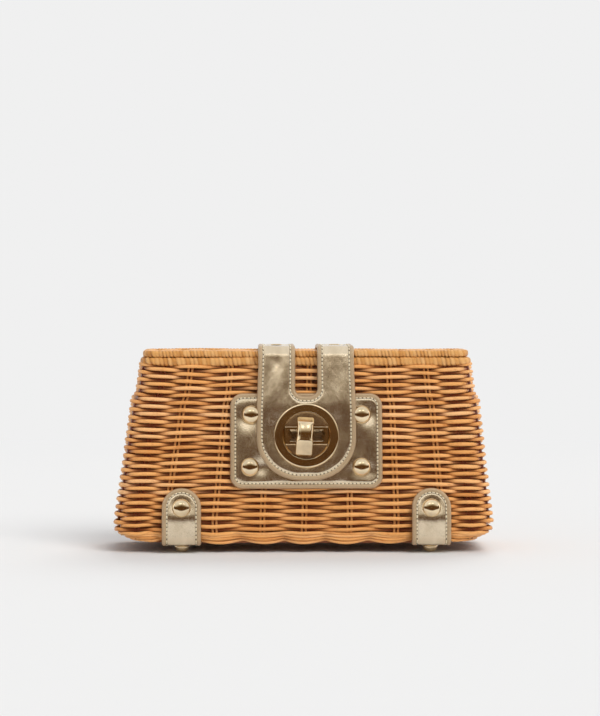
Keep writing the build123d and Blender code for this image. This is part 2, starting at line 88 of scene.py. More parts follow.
ROOT = frame["nodes"]["front_panel"]["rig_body"]
LID = "lid"
TAB = "tab"
KNOB = "knob"


def wall_y(z):
    return FRONT_Y - LEAN * (z - FLOOR_Z)


def half_width(z):
    return 100.0 + 0.121 * (WALL_TOP - z)


def sway(z):
    """The hand-woven body stands a little to the left of its lid."""
    return -1.5 * np.clip((WALL_TOP - z) / 95.0, 0.0, 1.0)


def tuck(z):
    """How far the end walls round in at the foot."""
    return 2.6 * np.clip((20.0 - z) / 9.0, 0.0, 1.0) ** 2


def stand(name, data):
    """A new object in the scene."""
    piece = bpy.data.objects.new(name, data)
    bpy.context.scene.collection.objects.link(piece)
    return piece


# mesh helpers
class Bundle:
    """Gathers vertices, faces and per-point values for one piece."""

    def __init__(self):
        self.points = []
        self.faces = []
        self.slots = []
        self.values = {}
        self.count = 0

    def add(self, points, faces, slot=0, **values):
        points = np.asarray(points, float).reshape(-1, 3)
        self.points.append(points)
        for face in faces:
            self.faces.append(tuple(int(i) + self.count for i in face))
        self.slots.extend([slot] * len(faces))
        for key, value in values.items():
            self.values.setdefault(key, []).append((self.count, np.asarray(value, float)))
        self.count += len(points)

    def build(self, name, materials):
        mesh = bpy.data.meshes.new(name)
        mesh.from_pydata((np.vstack(self.points) * 0.001).tolist(), [], self.faces)
        for material in materials:
            mesh.materials.append(material)
        mesh.polygons.foreach_set("material_index", np.array(self.slots, np.int32))
        for key, parts in self.values.items():
            wide = parts[0][1].ndim == 2
            shape = (self.count, 3) if wide else (self.count,)
            full = np.zeros(shape, np.float32)
            for start, value in parts:
                full[start:start + len(value)] = value
            attribute = mesh.attributes.new(key, "FLOAT_VECTOR" if wide else "FLOAT", "POINT")
            attribute.data.foreach_set("vector" if wide else "value", full.ravel())
        mesh.shade_smooth()
        mesh.update()
        return stand(name, mesh)


def ring_faces(count, sides, closed):
    """Faces between consecutive rings of a tube."""
    faces = []
    last = count if closed else count - 1
    for i in range(last):
        a = i * sides
        b = ((i + 1) % count) * sides
        for j in range(sides):
            k = (j + 1) % sides
            faces.append((a + j, b + j, b + k, a + k))
    return faces


def capped_faces(count, sides):
    """Faces of an open tube, with a cap on each end."""
    caps = [tuple(reversed(range(sides))), tuple(range((count - 1) * sides, count * sides))]
    return ring_faces(count, sides, False) + caps


def tube(bundle, centre, side, up, half_side, half_up, sides, closed, tone, depth=None, slot=0):
    """A rod along centre. side and up are unit vectors across it, and the halves its radii."""
    centre = np.asarray(centre, float)
    count = len(centre)
    half_side = np.broadcast_to(half_side, (count,))
    half_up = np.broadcast_to(half_up, (count,))
    side = np.broadcast_to(side, (count, 3))
    up = np.broadcast_to(up, (count, 3))
    angle = np.arange(sides) * 2 * math.pi / sides + math.pi
    across = np.cos(angle)[None, :] * half_side[:, None]
    high = np.sin(angle)[None, :] * half_up[:, None]
    points = centre[:, None, :] + side[:, None, :] * across[:, :, None] + up[:, None, :] * high[:, :, None]
    steps = np.linalg.norm(np.diff(centre, axis=0), axis=1)
    run = np.concatenate([[0.0], np.cumsum(steps)])
    shift = rng.uniform(0.0, 400.0)
    fibre = np.stack([
        np.repeat(run + shift, sides),
        across.ravel() + shift * 0.37,
        high.ravel() + shift * 0.73,
    ], axis=1)
    faces = ring_faces(count, sides, True) if closed else capped_faces(count, sides)
    value = np.full(count * sides, tone)
    # depth is how much painted shade each ring gets, most where the rod lies in a recess
    deep = np.zeros(count * sides) if depth is None else np.repeat(depth, sides)
    bundle.add(points, faces, slot, tone=value, depth=deep, fibre=fibre)


def unit(vectors):
    return vectors / np.linalg.norm(vectors, axis=-1, keepdims=True)


class Loop:
    """A rounded rectangle seen from above, started at its back left corner, followed by length."""

    def __init__(self, half_x, half_y, corner):
        points = []
        normals = []
        marks = []
        quarters = [(-1, 1, 90), (-1, -1, 180), (1, -1, 270), (1, 1, 360)]
        for sx, sy, begin in quarters:
            for i in range(9):
                turn = math.radians(begin + 90 * i / 8)
                nx = math.cos(turn)
                ny = math.sin(turn)
                points.append((sx * (half_x - corner) + corner * nx, sy * (half_y - corner) + corner * ny))
                normals.append((nx, ny))
        points = points[4:] + points[:5]
        normals = normals[4:] + normals[:5]
        self.points = np.array(points)
        self.normals = np.array(normals)
        steps = np.linalg.norm(np.diff(self.points, axis=0), axis=1)
        self.run = np.concatenate([[0.0], np.cumsum(steps)])
        self.length = self.run[-1]
        self.half_x = half_x
        self.half_y = half_y
        self.corner = corner

    def at(self, s):
        s = np.mod(s, self.length)
        x = np.interp(s, self.run, self.points[:, 0])
        y = np.interp(s, self.run, self.points[:, 1])
        nx = np.interp(s, self.run, self.normals[:, 0])
        ny = np.interp(s, self.run, self.normals[:, 1])
        size = np.hypot(nx, ny)
        return x, y, nx / size, ny / size

    def stakes(self, shares, side_shares):
        """Where the stakes stand: one at each corner, two on each end wall, nine on each long wall."""
        arc = self.corner * math.pi / 4
        past = 1.25 * arc
        side_y = 2 * (self.half_y - self.corner)
        front_x = 2 * (self.half_x - self.corner)
        places = [past] + [arc + share * side_y for share in side_shares] + [2 * arc + side_y - past]
        begin = 3 * arc + side_y
        for share in shares:
            places.append(begin + front_x / 2 + share * self.half_x)
        begin = begin + front_x + 2 * arc
        places.append(begin - arc + past)
        for share in side_shares:
            places.append(begin + share * side_y)
        begin = begin + side_y + 2 * arc
        places.append(begin - arc - past)
        for share in reversed(shares):
            places.append(begin + front_x / 2 - share * self.half_x)
        return np.array(places)


TOP_SHARES = [-0.872, -0.705, -0.462, -0.220, 0.022, 0.262, 0.508, 0.735, 0.872]
LOW_SHARES = [-0.902, -0.748, -0.483, -0.225, -0.002, 0.243, 0.497, 0.745, 0.902]
SIDE_SHARES = [1 / 3, 2 / 3]
CORNER_STAKES = (0, 3, 13, 16)
HIDDEN_STAKES = (4, 12, 17, 25)


def shares_at(z):
    part = min(1.0, max(0.0, (z - WALL_LOW) / (WALL_TOP - WALL_LOW)))
    return [low + (top - low) * part for low, top in zip(LOW_SHARES, TOP_SHARES)]


def side_inset(z):
    """The end walls draw in a little above the shoulder, under the wrapped rim."""
    part = min(1.0, max(0.0, (z - SHOULDER + 1.1) / 2.2))
    return 2.1 * part * part * (3 - 2 * part)


def loop_at(z):
    return Loop(half_width(z) - side_inset(z) - tuck(z), wall_y(z) - 0.6 * tuck(z), 6.5)


def between(places, length, steps):
    """Points along a loop, the same number between each two stakes, with the share of the way."""
    s = []
    share = []
    gap = []
    count = len(places)
    for k in range(count):
        begin = places[k]
        end = places[(k + 1) % count]
        if end <= begin:
            end += length
        for i in range(steps):
            t = i / steps
            s.append(begin + (end - begin) * t)
            share.append(t)
            gap.append(k)
    return np.array(s), np.array(share), np.array(gap)


# materials
BLACK = (0.0, 0.0, 0.0)
WHITE = (1.0, 1.0, 1.0)


def new_material(name):
    material = bpy.data.materials.new(name)
    material.use_nodes = True
    tree = material.node_tree
    shader = tree.nodes["Principled BSDF"]
    return material, tree, shader


def link(tree, source, target):
    tree.links.new(source, target)


def point_value(tree, name, output="Fac"):
    """A value that Bundle.add has stored on the points."""
    node = tree.nodes.new("ShaderNodeAttribute")
    node.attribute_name = name
    return node.outputs[output]


def scaled(tree, source, size):
    node = tree.nodes.new("ShaderNodeVectorMath")
    node.operation = "MULTIPLY"
    node.inputs[1].default_value = size
    link(tree, source, node.inputs[0])
    return node.outputs[0]


def noise(tree, source, size, detail, roughness=0.55):
    """Noise over source times size."""
    node = tree.nodes.new("ShaderNodeTexNoise")
    node.inputs["Scale"].default_value = 1.0
    node.inputs["Detail"].default_value = detail
    node.inputs["Roughness"].default_value = roughness
    link(tree, scaled(tree, source, size), node.inputs["Vector"])
    return node.outputs["Fac"]


def ramp(tree, source, stops, smooth=False):
    node = tree.nodes.new("ShaderNodeValToRGB")
    elements = node.color_ramp.elements
    while len(elements) < len(stops):
        elements.new(0.5)
    for element, (place, colour) in zip(elements, stops):
        element.position = place
        element.color = (*colour, 1.0)
    if smooth:
        node.color_ramp.interpolation = "EASE"
    link(tree, source, node.inputs["Fac"])
    return node.outputs["Color"]


def math_node(tree, operation, first, second, clamp=False):
    node = tree.nodes.new("ShaderNodeMath")
    node.operation = operation
    node.use_clamp = clamp
    for socket, value in zip(node.inputs, (first, second)):
        if isinstance(value, (int, float)):
            socket.default_value = value
        else:
            link(tree, value, socket)
    return node.outputs[0]


def scale_add(tree, source, factor, offset):
    return math_node(tree, "ADD", math_node(tree, "MULTIPLY", source, factor), offset)


def mix_colour(tree, factor, first, second, blend="MIX"):
    node = tree.nodes.new("ShaderNodeMix")
    node.data_type = "RGBA"
    node.blend_type = blend
    colours = [socket for socket in node.inputs if socket.type == "RGBA"]
    if isinstance(factor, (int, float)):
        node.inputs[0].default_value = factor
    else:
        link(tree, factor, node.inputs[0])
    for socket, value in zip(colours, (first, second)):
        if isinstance(value, tuple):
            socket.default_value = (*value, 1.0)
        else:
            link(tree, value, socket)
    return [socket for socket in node.outputs if socket.type == "RGBA"][0]


def bump(tree, height, strength, distance, normal=None):
    node = tree.nodes.new("ShaderNodeBump")
    node.inputs["Strength"].default_value = strength
    node.inputs["Distance"].default_value = distance
    link(tree, height, node.inputs["Height"])
    if normal is not None:
        link(tree, normal, node.inputs["Normal"])
    return node.outputs["Normal"]


def wicker_material(name, light, mid, dark, recess):
    """Split cane: long fibres, a tone of its own for each rod, and painted shade where it dips inside, mixed in by
    depth toward the recess colour.
    """
    material, tree, shader = new_material(name)
    fibre = point_value(tree, "fibre", "Vector")
    tone = point_value(tree, "tone")
    depth = point_value(tree, "depth")
    fine = noise(tree, fibre, (0.10, 2.6, 2.6), 4.0, 0.6)
    drift = noise(tree, fibre, (0.035, 0.05, 0.05), 2.0)
    blotch = noise(tree, fibre, (0.22, 0.5, 0.5), 3.0, 0.6)
    value = math_node(tree, "MULTIPLY", tone, 0.42)
    value = scale_add(tree, drift, 0.46, value)
    value = scale_add(tree, fine, 0.30, value)
    value = math_node(tree, "SUBTRACT", value, 0.12, True)
    colour = ramp(tree, value, [(0.10, dark), (0.45, mid), (0.85, light)])
    stain = ramp(tree, blotch, [(0.30, (0.62, 0.46, 0.34)), (0.46, WHITE)])
    colour = mix_colour(tree, 0.5, colour, stain, "MULTIPLY")
    # painted shade: depth darkens the colour toward the recess colour where the cane dips in
    colour = mix_colour(tree, depth, colour, recess)
    link(tree, colour, shader.inputs["Base Color"])
    rough = scale_add(tree, fine, 0.22, 0.27)
    link(tree, rough, shader.inputs["Roughness"])
    shader.inputs["Specular IOR Level"].default_value = 0.34
    shader.inputs["Coat Weight"].default_value = 0.08
    shader.inputs["Coat Roughness"].default_value = 0.22
    link(tree, bump(tree, fine, 0.35, 0.0002), shader.inputs["Normal"])
    return material


def foil_material(name):
    """Champagne foil leather: bright and finely crazed, with a duller turned edge and painted shade along the
    needle line.
    """
    material, tree, shader = new_material(name)
    flat = point_value(tree, "flat", "Vector")
    edge = point_value(tree, "edge")
    cloud = noise(tree, flat, (0.10, 0.045, 0.0), 3.0, 0.5)
    streak = noise(tree, flat, (1.3, 0.10, 0.0), 4.0, 0.6)
    dents = noise(tree, flat, (0.22, 0.09, 0.0), 2.0, 0.5)
    grain = noise(tree, flat, (4.2, 3.4, 0.0), 3.0, 0.65)
    inside = ramp(tree, cloud, [(0.30, (0.71, 0.58, 0.405)), (0.70, (0.90, 0.775, 0.58))])
    border = ramp(tree, grain, [(0.30, (0.43, 0.295, 0.165)), (0.70, (0.60, 0.445, 0.280))])
    is_border = ramp(tree, edge, [(0.0, WHITE), (0.235, WHITE), (0.26, BLACK)])
    colour = mix_colour(tree, is_border, inside, border)
    # painted shade in the stitch groove and its needle holes: the needle line darkens toward near black
    needle = ramp(tree, edge, [(0.262, BLACK), (0.285, WHITE), (0.325, WHITE), (0.35, BLACK)])
    colour = mix_colour(tree, math_node(tree, "MULTIPLY", needle, 0.85), colour, (0.075, 0.045, 0.02))
    link(tree, colour, shader.inputs["Base Color"])
    metal = scale_add(tree, is_border, -0.60, 0.98)
    metal = math_node(tree, "SUBTRACT", metal, math_node(tree, "MULTIPLY", needle, 0.6), True)
    link(tree, metal, shader.inputs["Metallic"])
    rough = scale_add(tree, streak, 0.14, 0.11)
    rough = scale_add(tree, is_border, 0.16, rough)
    link(tree, rough, shader.inputs["Roughness"])
    first = bump(tree, dents, 0.22, 0.0012)
    second = bump(tree, streak, 0.28, 0.00022, first)
    link(tree, bump(tree, grain, 0.42, 0.00012, second), shader.inputs["Normal"])
    return material


def metal_material(name, colour, rough):
    """Pale gold plate with faint polishing marks."""
    material, tree, shader = new_material(name)
    place = tree.nodes.new("ShaderNodeTexCoord").outputs["Object"]
    marks = noise(tree, place, (1400.0, 1400.0, 500.0), 4.0, 0.6)
    cloud = noise(tree, place, (120.0, 120.0, 120.0), 3.0)
    deep = tuple(c * 0.80 for c in colour)
    link(tree, ramp(tree, cloud, [(0.35, deep), (0.62, colour)]), shader.inputs["Base Color"])
    shader.inputs["Metallic"].default_value = 1.0
    link(tree, scale_add(tree, marks, 0.10, rough - 0.05), shader.inputs["Roughness"])
    link(tree, bump(tree, marks, 0.06, 0.0001), shader.inputs["Normal"])
    return material


def cloth_material(name, light, dark):
    """Plain woven lining: a fine over and under of two threads."""
    material, tree, shader = new_material(name)
    flat = point_value(tree, "flat", "Vector")
    threads = []
    for way, size in (("X", (0.55, 0.0, 0.0)), ("Y", (0.0, 0.55, 0.0))):
        wave = tree.nodes.new("ShaderNodeTexWave")
        wave.inputs["Scale"].default_value = 1.0
        wave.bands_direction = way
        link(tree, scaled(tree, flat, size), wave.inputs["Vector"])
        threads.append(wave.outputs["Fac"])
    weave = math_node(tree, "MULTIPLY", *threads)
    cloud = noise(tree, flat, (0.06, 0.06, 0.06), 4.0)
    value = scale_add(tree, weave, 0.5, math_node(tree, "MULTIPLY", cloud, 0.5))
    link(tree, ramp(tree, value, [(0.15, dark), (0.75, light)]), shader.inputs["Base Color"])
    shader.inputs["Roughness"].default_value = 0.85
    shader.inputs["Sheen Weight"].default_value = 0.25
    link(tree, bump(tree, weave, 0.4, 0.0002), shader.inputs["Normal"])
    return material


def thread_material(name, colour):
    material, tree, shader = new_material(name)
    flat = point_value(tree, "flat", "Vector")
    twist = noise(tree, flat, (3.0, 3.0, 3.0), 2.0)
    deep = tuple(c * 0.62 for c in colour)
    link(tree, ramp(tree, twist, [(0.3, deep), (0.6, colour)]), shader.inputs["Base Color"])
    shader.inputs["Roughness"].default_value = 0.6
    link(tree, bump(tree, twist, 0.4, 0.0002), shader.inputs["Normal"])
    return material


# the last colour of each cane is its painted shade colour, mixed in where depth is high
CANE = wicker_material("split_cane", (0.97, 0.58, 0.285), (0.87, 0.425, 0.135),
                       (0.59, 0.200, 0.032), (0.165, 0.014, 0.0))
WRAP = wicker_material("wrapped_cane", (0.86, 0.50, 0.200), (0.74, 0.365, 0.105),
                       (0.53, 0.210, 0.038), (0.190, 0.040, 0.003))
FOIL = foil_material("champagne_leather")
GOLD = metal_material("pale_gold", (0.94, 0.76, 0.50), 0.12)
# a darker copy of the pale gold for the face and boss sunk inside the eyelet ring: painted shade
GOLD_PAINTED_SHADE = metal_material("pale_gold_painted_shade", (0.80, 0.60, 0.38), 0.20)
LINING = cloth_material("cotton_lining", (0.26, 0.075, 0.012), (0.14, 0.034, 0.005))
THREAD = thread_material("cream_thread", (0.92, 0.80, 0.57))

# woven walls: half sizes of a reed, its swing about the stakes, radii of stakes and corner posts,
# and half the space between the two rods of a stake
REED_HIGH = 1.03
REED_DEEP = 0.98
SWING = 1.92
STAKE = 0.72
POST = 2.2
PAIR = 1.15


class Drift:
    """A smooth seeded wander along a loop."""

    def __init__(self, waves, size, seed):
        source = random.Random(seed)
        self.parts = [(k, source.uniform(0, 6.283), size / (1 + 0.35 * i)) for i, k in enumerate(waves)]

    def at(self, share, lift=0.0):
        total = np.zeros_like(share)
        for k, phase, size in self.parts:
            total = total + size * np.sin(2 * math.pi * k * share + phase + lift)
        return total


COMMON = Drift([3, 5, 9, 14], 0.20, 5)


def weave_rows(first, last, name):
    bundle = Bundle()
    for row in range(first, last):
        z = WALL_LOW + PITCH * (row + 0.5)
        loop = loop_at(z)
        places = loop.stakes(shares_at(z), SIDE_SHARES)
        s, t, gap = between(places, loop.length, 12)
        sign = np.where((gap + row) % 2 == 0, 1.0, -1.0)
        swing = sign * np.cos(math.pi * t)
        crest = np.sign(swing) * np.abs(swing) ** 0.8
        own = Drift([7, 11, 17, 23], 0.09, 100 + row)
        share = s / loop.length
        ease = t * t * (3 - 2 * t)
        chance = np.array([rng.uniform(-1.0, 1.0) for _ in places])
        each = chance[gap] * (1 - ease) + chance[(gap + 1) % len(places)] * ease
        reach = SWING * crest + 0.6 * own.at(share)
        x, y, nx, ny = loop.at(s)
        lift = COMMON.at(share, row * 0.21) + own.at(share) + 0.24 * each
        corner = np.clip((np.abs(x) / loop.half_x - 0.74) / 0.26, 0, 1)
        lift = lift * min(1.0, (ROWS - 0.3 - row) / 2.5)
        lift = lift + 1.5 * corner ** 2 * min(1.0, max(0.0, (z - 62.0) / 45.0))
        lift = lift - 0.55 * np.cos(math.pi * t) ** 4 * max(0.0, 1.0 - row / 5.0)
        lean = LEAN * np.abs(ny) + 0.11 * np.abs(nx)
        centre = np.stack([x + sway(z) + nx * reach, y + ny * reach, z + lift + reach * lean], axis=1)
        side = unit(np.stack([nx, ny, lean], axis=1))
        high = unit(np.stack([-nx * lean, -ny * lean, np.ones_like(nx)], axis=1))
        size = rng.uniform(0.94, 1.06)
        half_up = (REED_HIGH + 0.15 * np.clip(crest, 0, 1) - 0.09 * each) * size
        half_side = (REED_DEEP + 0.06 * each) * size
        # painted shade where the reed swings in behind a stake
        depth = np.clip(0.88 - 1.25 * (crest + 1) / 2, 0.0, 0.88)
        tone = rng.uniform(0.0, 1.0)
        tube(bundle, centre, side, high, half_side, half_up, 8, True, tone, depth)
    return bundle.build(name, [CANE])


for name, first, last in (("wall_weave_lower", 0, 23), ("wall_weave_upper", 23, ROWS)):
    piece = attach(weave_rows(first, last, name), ROOT)
    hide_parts("front_panel", "back_panel", "left_side_panel", "right_side_panel", "corner_posts")


def stake_rods():
    bundle = Bundle()
    levels = np.linspace(8.2, WALL_TOP + 0.6, 18)
    tracks = []
    for z in levels:
        loop = loop_at(z)
        places = loop.stakes(shares_at(z), SIDE_SHARES)
        tracks.append((loop, places, z))
    count = len(tracks[0][1])
    for k in range(count):
        tone_pair = rng.uniform(0.1, 0.7)
        corner = k in CORNER_STAKES
        inward = 1.6 if k in HIDDEN_STAKES else 1.5 if corner else 0.0
        size = POST if corner else STAKE
        for shift in (0.0,) if corner else (-PAIR, PAIR):
            points = []
            sides = []
            for loop, places, z in tracks[2 if corner else 0:]:
                x, y, nx, ny = loop.at(np.array([places[k] + shift]))
                points.append((x[0] + sway(z) - nx[0] * inward, y[0] - ny[0] * inward, z))
                sides.append((nx[0], ny[0], 0.0))
            points = np.array(points)
            sides = np.array(sides)
            along = unit(np.gradient(points, axis=0))
            across = unit(np.cross(along, sides))
            # painted shade: the stakes stand back between the rows, the inward ones deeper
            painted_stake_shade = 0.92 if inward else 0.30
            tube(bundle, points, sides, across, size, size, 8, False, tone_pair, np.full(len(points), painted_stake_shade))
    return bundle.build("stake_rods", [CANE])


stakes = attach(stake_rods(), ROOT)

# base edge: four heavier rods that sag at each stake and cross between
def border_rods():
    """Each row: height, inset at the ends and at the front, corner, reach, climb and radius of a rod.
    The last two are the cores behind the four that show."""
    bundle = Bundle()
    rods = [(6.20, 10.2, 3.6, 13.0, 1.25, 1.90, 1.00), (8.10, 7.4, 2.6, 11.5, 1.30, 1.55, 0.98),
            (9.85, 5.0, 1.9, 9.5, 1.30, 1.15, 0.92), (11.5, 3.2, 1.5, 8.0, 1.20, 0.55, 0.90),
            (7.0, 11.4, 6.6, 12.0, 0.0, 0.0, 1.7), (10.8, 5.8, 4.2, 9.0, -1.0, 0.0, 1.3)]
    for index, (z, inset, inset_y, corner, reach, climb, size) in enumerate(rods):
        loop = Loop(half_width(z) + 0.6 - inset, wall_y(z) + 0.1 - inset_y, corner)
        places = loop.stakes(shares_at(WALL_LOW), SIDE_SHARES)
        s, t, gap = between(places, loop.length, 20)
        share = s / loop.length
        x, y, nx, ny = loop.at(s)
        calm = 1.0 - np.clip((np.abs(x) - 86.0) / 8.0, 0.0, 1.0)
        arch = (1.0 - np.sqrt(np.cos(math.pi * t) ** 2 + 0.012)) * calm + 0.25 * (1.0 - calm)
        rise = 1.5 * np.clip((np.abs(x) - 62.0) / 44.0, 0, 1) ** 1.6
        own = Drift([4, 7, 13], 0.10, 300 + index)
        out = reach - (1.9 - 0.45 * index) * arch * (index < 4)
        height = z + climb * arch + own.at(share) + rise * (1.0 - 0.25 * (index % 4))
        centre = np.stack([x + sway(z) + nx * out, y + ny * out, height], axis=1)
        side = np.stack([nx, ny, np.zeros_like(nx)], axis=1)
        tone = (0.55, 0.30, 0.70, 0.45, 0.4, 0.4)[index]
        # painted shade where a rod sags in at a stake, and heavy painted shade on the cores behind
        deep = 0.30 * arch ** 2 if index < 4 else np.full(len(s), 0.8)
        tube(bundle, centre, side, Z_AXIS, size, size * (1.0 - 0.18 * arch), 10, True, tone, deep)
    return bundle.build("base_edge_rods", [CANE])


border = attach(border_rods(), ROOT)
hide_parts("base_border")

# flat woven mats of the base and the lid
def flat_mat(name, half_x, half_y, z, rows, reach, size, shares, steps):
    bundle = Bundle()
    pitch = 2 * half_y / rows
    marks = np.array([-1.0] + list(shares) + [1.0])
    for row in range(rows):
        y = -half_y + pitch * (row + 0.5)
        xs = []
        swing = []
        for k in range(len(marks) - 1):
            sign = 1.0 if (k + row) % 2 == 0 else -1.0
            for i in range(steps):
                part = i / steps
                xs.append(marks[k] + (marks[k + 1] - marks[k]) * part)
                swing.append(sign * math.cos(math.pi * part))
        xs.append(1.0)
        swing.append(swing[-1])
        xs = np.array(xs) * half_x
        swing = np.array(swing)
        own = Drift([2, 3, 5], 0.06, 500 + row)
        wander = own.at((xs + half_x) / (2 * half_x))
        centre = np.stack([xs, y + wander, z + reach * swing], axis=1)
        # painted shade where the reed passes under the stakes
        depth = np.clip(0.5 - 0.8 * (swing + 1) / 2, 0.0, 0.5)
        tube(bundle, centre, Y_AXIS, Z_AXIS,
             pitch * 0.5 * rng.uniform(0.95, 1.02), size, 8, False, rng.uniform(0.0, 1.0), depth)
    # the stakes under the mat get a little painted shade (0.2)
    for share in shares:
        for shift in (-1.2, 1.2):
            ys = np.linspace(-half_y, half_y, 6)
            centre = np.stack([np.full(6, share * half_x + shift), ys, np.full(6, z)], axis=1)
            tube(bundle, centre, X_AXIS, Z_AXIS,
                 0.7, 0.6, 6, False, 0.5, np.full(6, 0.2))
    return bundle.build(name, [CANE])


base_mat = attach(flat_mat("base_weave", half_width(10.0) - 12.5, 32.6, 9.2, 30, 1.0, 1.05, LOW_SHARES, 8),
                   ROOT)
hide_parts("base_panel")
lid_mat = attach(flat_mat("lid_weave", 95.2, 17.6, 118.45, 16, 0.95, 0.98, TOP_SHARES, 10), LID)
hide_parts("lid_panel")

# wrapped rims
RIM_HALF = 2.42


def wrapped_rim(name, half_x, z_mid, half_z, dip, seed, wraps):
    """A core closely wound with cane: each turn is a rounded ridge that leans."""
    bundle = Bundle()
    loop = Loop(half_x - RIM_HALF, 19.5, 5.4)
    count = wraps * 8
    sides = 16
    s = np.arange(count) * loop.length / count
    x, y, nx, ny = loop.at(s)
    share = s / loop.length
    places = loop.stakes(shares_at(WALL_TOP), SIDE_SHARES)
    half = loop.length / 2
    gapped = np.abs((s[:, None] - places[None, :] + half) % loop.length - half).min(axis=1)
    near = np.exp(-(gapped / 3.2) ** 2)
    source = random.Random(seed)
    each = np.array([source.uniform(-1.0, 1.0) for _ in range(wraps)])
    lean = Drift([6, 11, 19], 0.10, seed)
    bend = Drift([2, 5, 9], 0.14, seed + 1)
    angle = np.arange(sides) * 2 * math.pi / sides + math.pi
    turn = share[:, None] * wraps + 1.5 * angle[None, :] / (2 * math.pi) + lean.at(share)[:, None]
    which = np.floor(turn).astype(int) % wraps
    within = turn - np.floor(turn)
    ridge = np.abs(np.sin(math.pi * within)) ** 0.5
    slit = np.array([1.0 if source.random() < 0.24 else source.uniform(0.25, 0.6) for _ in range(wraps)])
    nearest = np.where(within < 0.5, which - 1, which) % wraps
    groove = (1.0 - ridge) * np.minimum(1.0, slit[nearest] + 0.5 * near[:, None])
    body = 1.0 - 0.24 * groove + 0.03 * each[which]
    thin = np.clip((np.abs(x) - 80.0) / 16.0, 0.0, 1.0) ** 2
    high_low = half_z + dip * near[:, None] - dip * 2.2 * thin[:, None]
    cosine = np.cos(angle)[None, :]
    sine = np.sin(angle)[None, :]
    cosine = np.sign(cosine) * np.abs(cosine) ** 0.66
    sine = np.sign(sine) * np.abs(sine) ** 0.66
    across = cosine * RIM_HALF * body
    high = np.where(sine > 0, sine * half_z, sine * high_low) * body
    side = np.stack([nx, ny, np.zeros_like(nx)], axis=1)
    centre = np.stack([x, y, z_mid + bend.at(share)], axis=1)
    points = centre[:, None, :] + side[:, None, :] * across[:, :, None]
    points[:, :, 2] += high
    tone = (0.5 + 0.5 * each[which]).ravel()
    # painted shade in the grooves between wraps, deeper on the underside
    under = 0.75 + 0.5 * np.clip(-sine, 0.0, 1.0)
    depth = np.clip(groove * 1.15 * under, 0.0, 1.0).ravel()
    fibre = np.stack([
        np.tile(angle * 2.4, count) + which.ravel() * 7.3,
        (within * 1.7).ravel() + which.ravel() * 3.1,
        np.zeros(count * sides),
    ], axis=1)
    bundle.add(points, ring_faces(count, sides, True), 0, tone=tone, depth=depth, fibre=fibre)
    return bundle.build(name, [WRAP])


body_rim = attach(wrapped_rim("body_rim_wrap", 99.9, 113.80, 2.62, 0.50, 41, 178), ROOT)
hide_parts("body_rim")
lid_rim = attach(wrapped_rim("lid_rim_wrap", 98.3, 118.48, 2.08, 0.0, 43, 216), LID)
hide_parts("lid_rim")

# sheets cut to an outline, for leather and plate
def arc_points(cx, cy, radius, begin, end, step):
    count = max(3, int(abs(math.radians(end - begin)) * radius / step))
    angles = [math.radians(begin + (end - begin) * i / count) for i in range(count + 1)]
    return [(cx + radius * math.cos(angle), cy + radius * math.sin(angle)) for angle in angles]


def dense(corners, step):
    """The closed outline with its long runs divided."""
    result = []
    count = len(corners)
    for i in range(count):
        a = np.array(corners[i])
        b = np.array(corners[(i + 1) % count])
        length = np.linalg.norm(b - a)
        if length < 1e-6:
            continue
        parts = max(1, int(round(length / step)))
        for k in range(parts):
            result.append(a + (b - a) * k / parts)
    return np.array(result)


def rounded_rectangle(half_u, half_v, radius, centre_v, step=0.7):
    points = []
    points += arc_points(half_u - radius, centre_v + half_v - radius, radius, 0, 90, step)
    points += arc_points(-half_u + radius, centre_v + half_v - radius, radius, 90, 180, step)
    points += arc_points(-half_u + radius, centre_v - half_v + radius, radius, 180, 270, step)
    points += arc_points(half_u - radius, centre_v - half_v + radius, radius, 270, 360, step)
    return dense(points, step)


def distance(points, outlines):
    """How far inside the outlines each point lies, below nought outside."""
    best = np.full(len(points), 1e9)
    inside = np.zeros(len(points), bool)
    for outline in outlines:
        a = outline
        b = np.roll(outline, -1, axis=0)
        for begin in range(0, len(a), 64):
            pa = a[begin:begin + 64]
            pb = b[begin:begin + 64]
            run = pb - pa
            to = points[:, None, :] - pa[None, :, :]
            t = np.clip((to * run[None]).sum(2) / np.maximum((run * run).sum(1)[None], 1e-12), 0, 1)
            gap = to - run[None] * t[:, :, None]
            best = np.minimum(best, np.sqrt((gap * gap).sum(2)).min(1))
            above = (pa[None, :, 1] > points[:, None, 1]) != (pb[None, :, 1] > points[:, None, 1])
            rise = np.where(np.abs(run[:, 1]) < 1e-12, 1e-12, run[:, 1])
            cut = pa[None, :, 0] + (points[:, None, 1] - pa[None, :, 1]) * (run[:, 0] / rise)[None]
            hits = above & (points[:, None, 0] < cut)
            inside ^= (hits.sum(1) % 2).astype(bool)
    return np.where(inside, best, -best)


def inward(outline, outlines):
    """The unit normals of an outline that point into its sheet."""
    ahead = np.roll(outline, -1, axis=0) - np.roll(outline, 1, axis=0)
    normal = np.stack([-ahead[:, 1], ahead[:, 0]], axis=1)
    normal = normal / np.maximum(np.linalg.norm(normal, axis=1, keepdims=True), 1e-9)
    probe = distance(outline + normal * 0.05, outlines)
    return normal * np.where(probe > 0, 1.0, -1.0)[:, None]


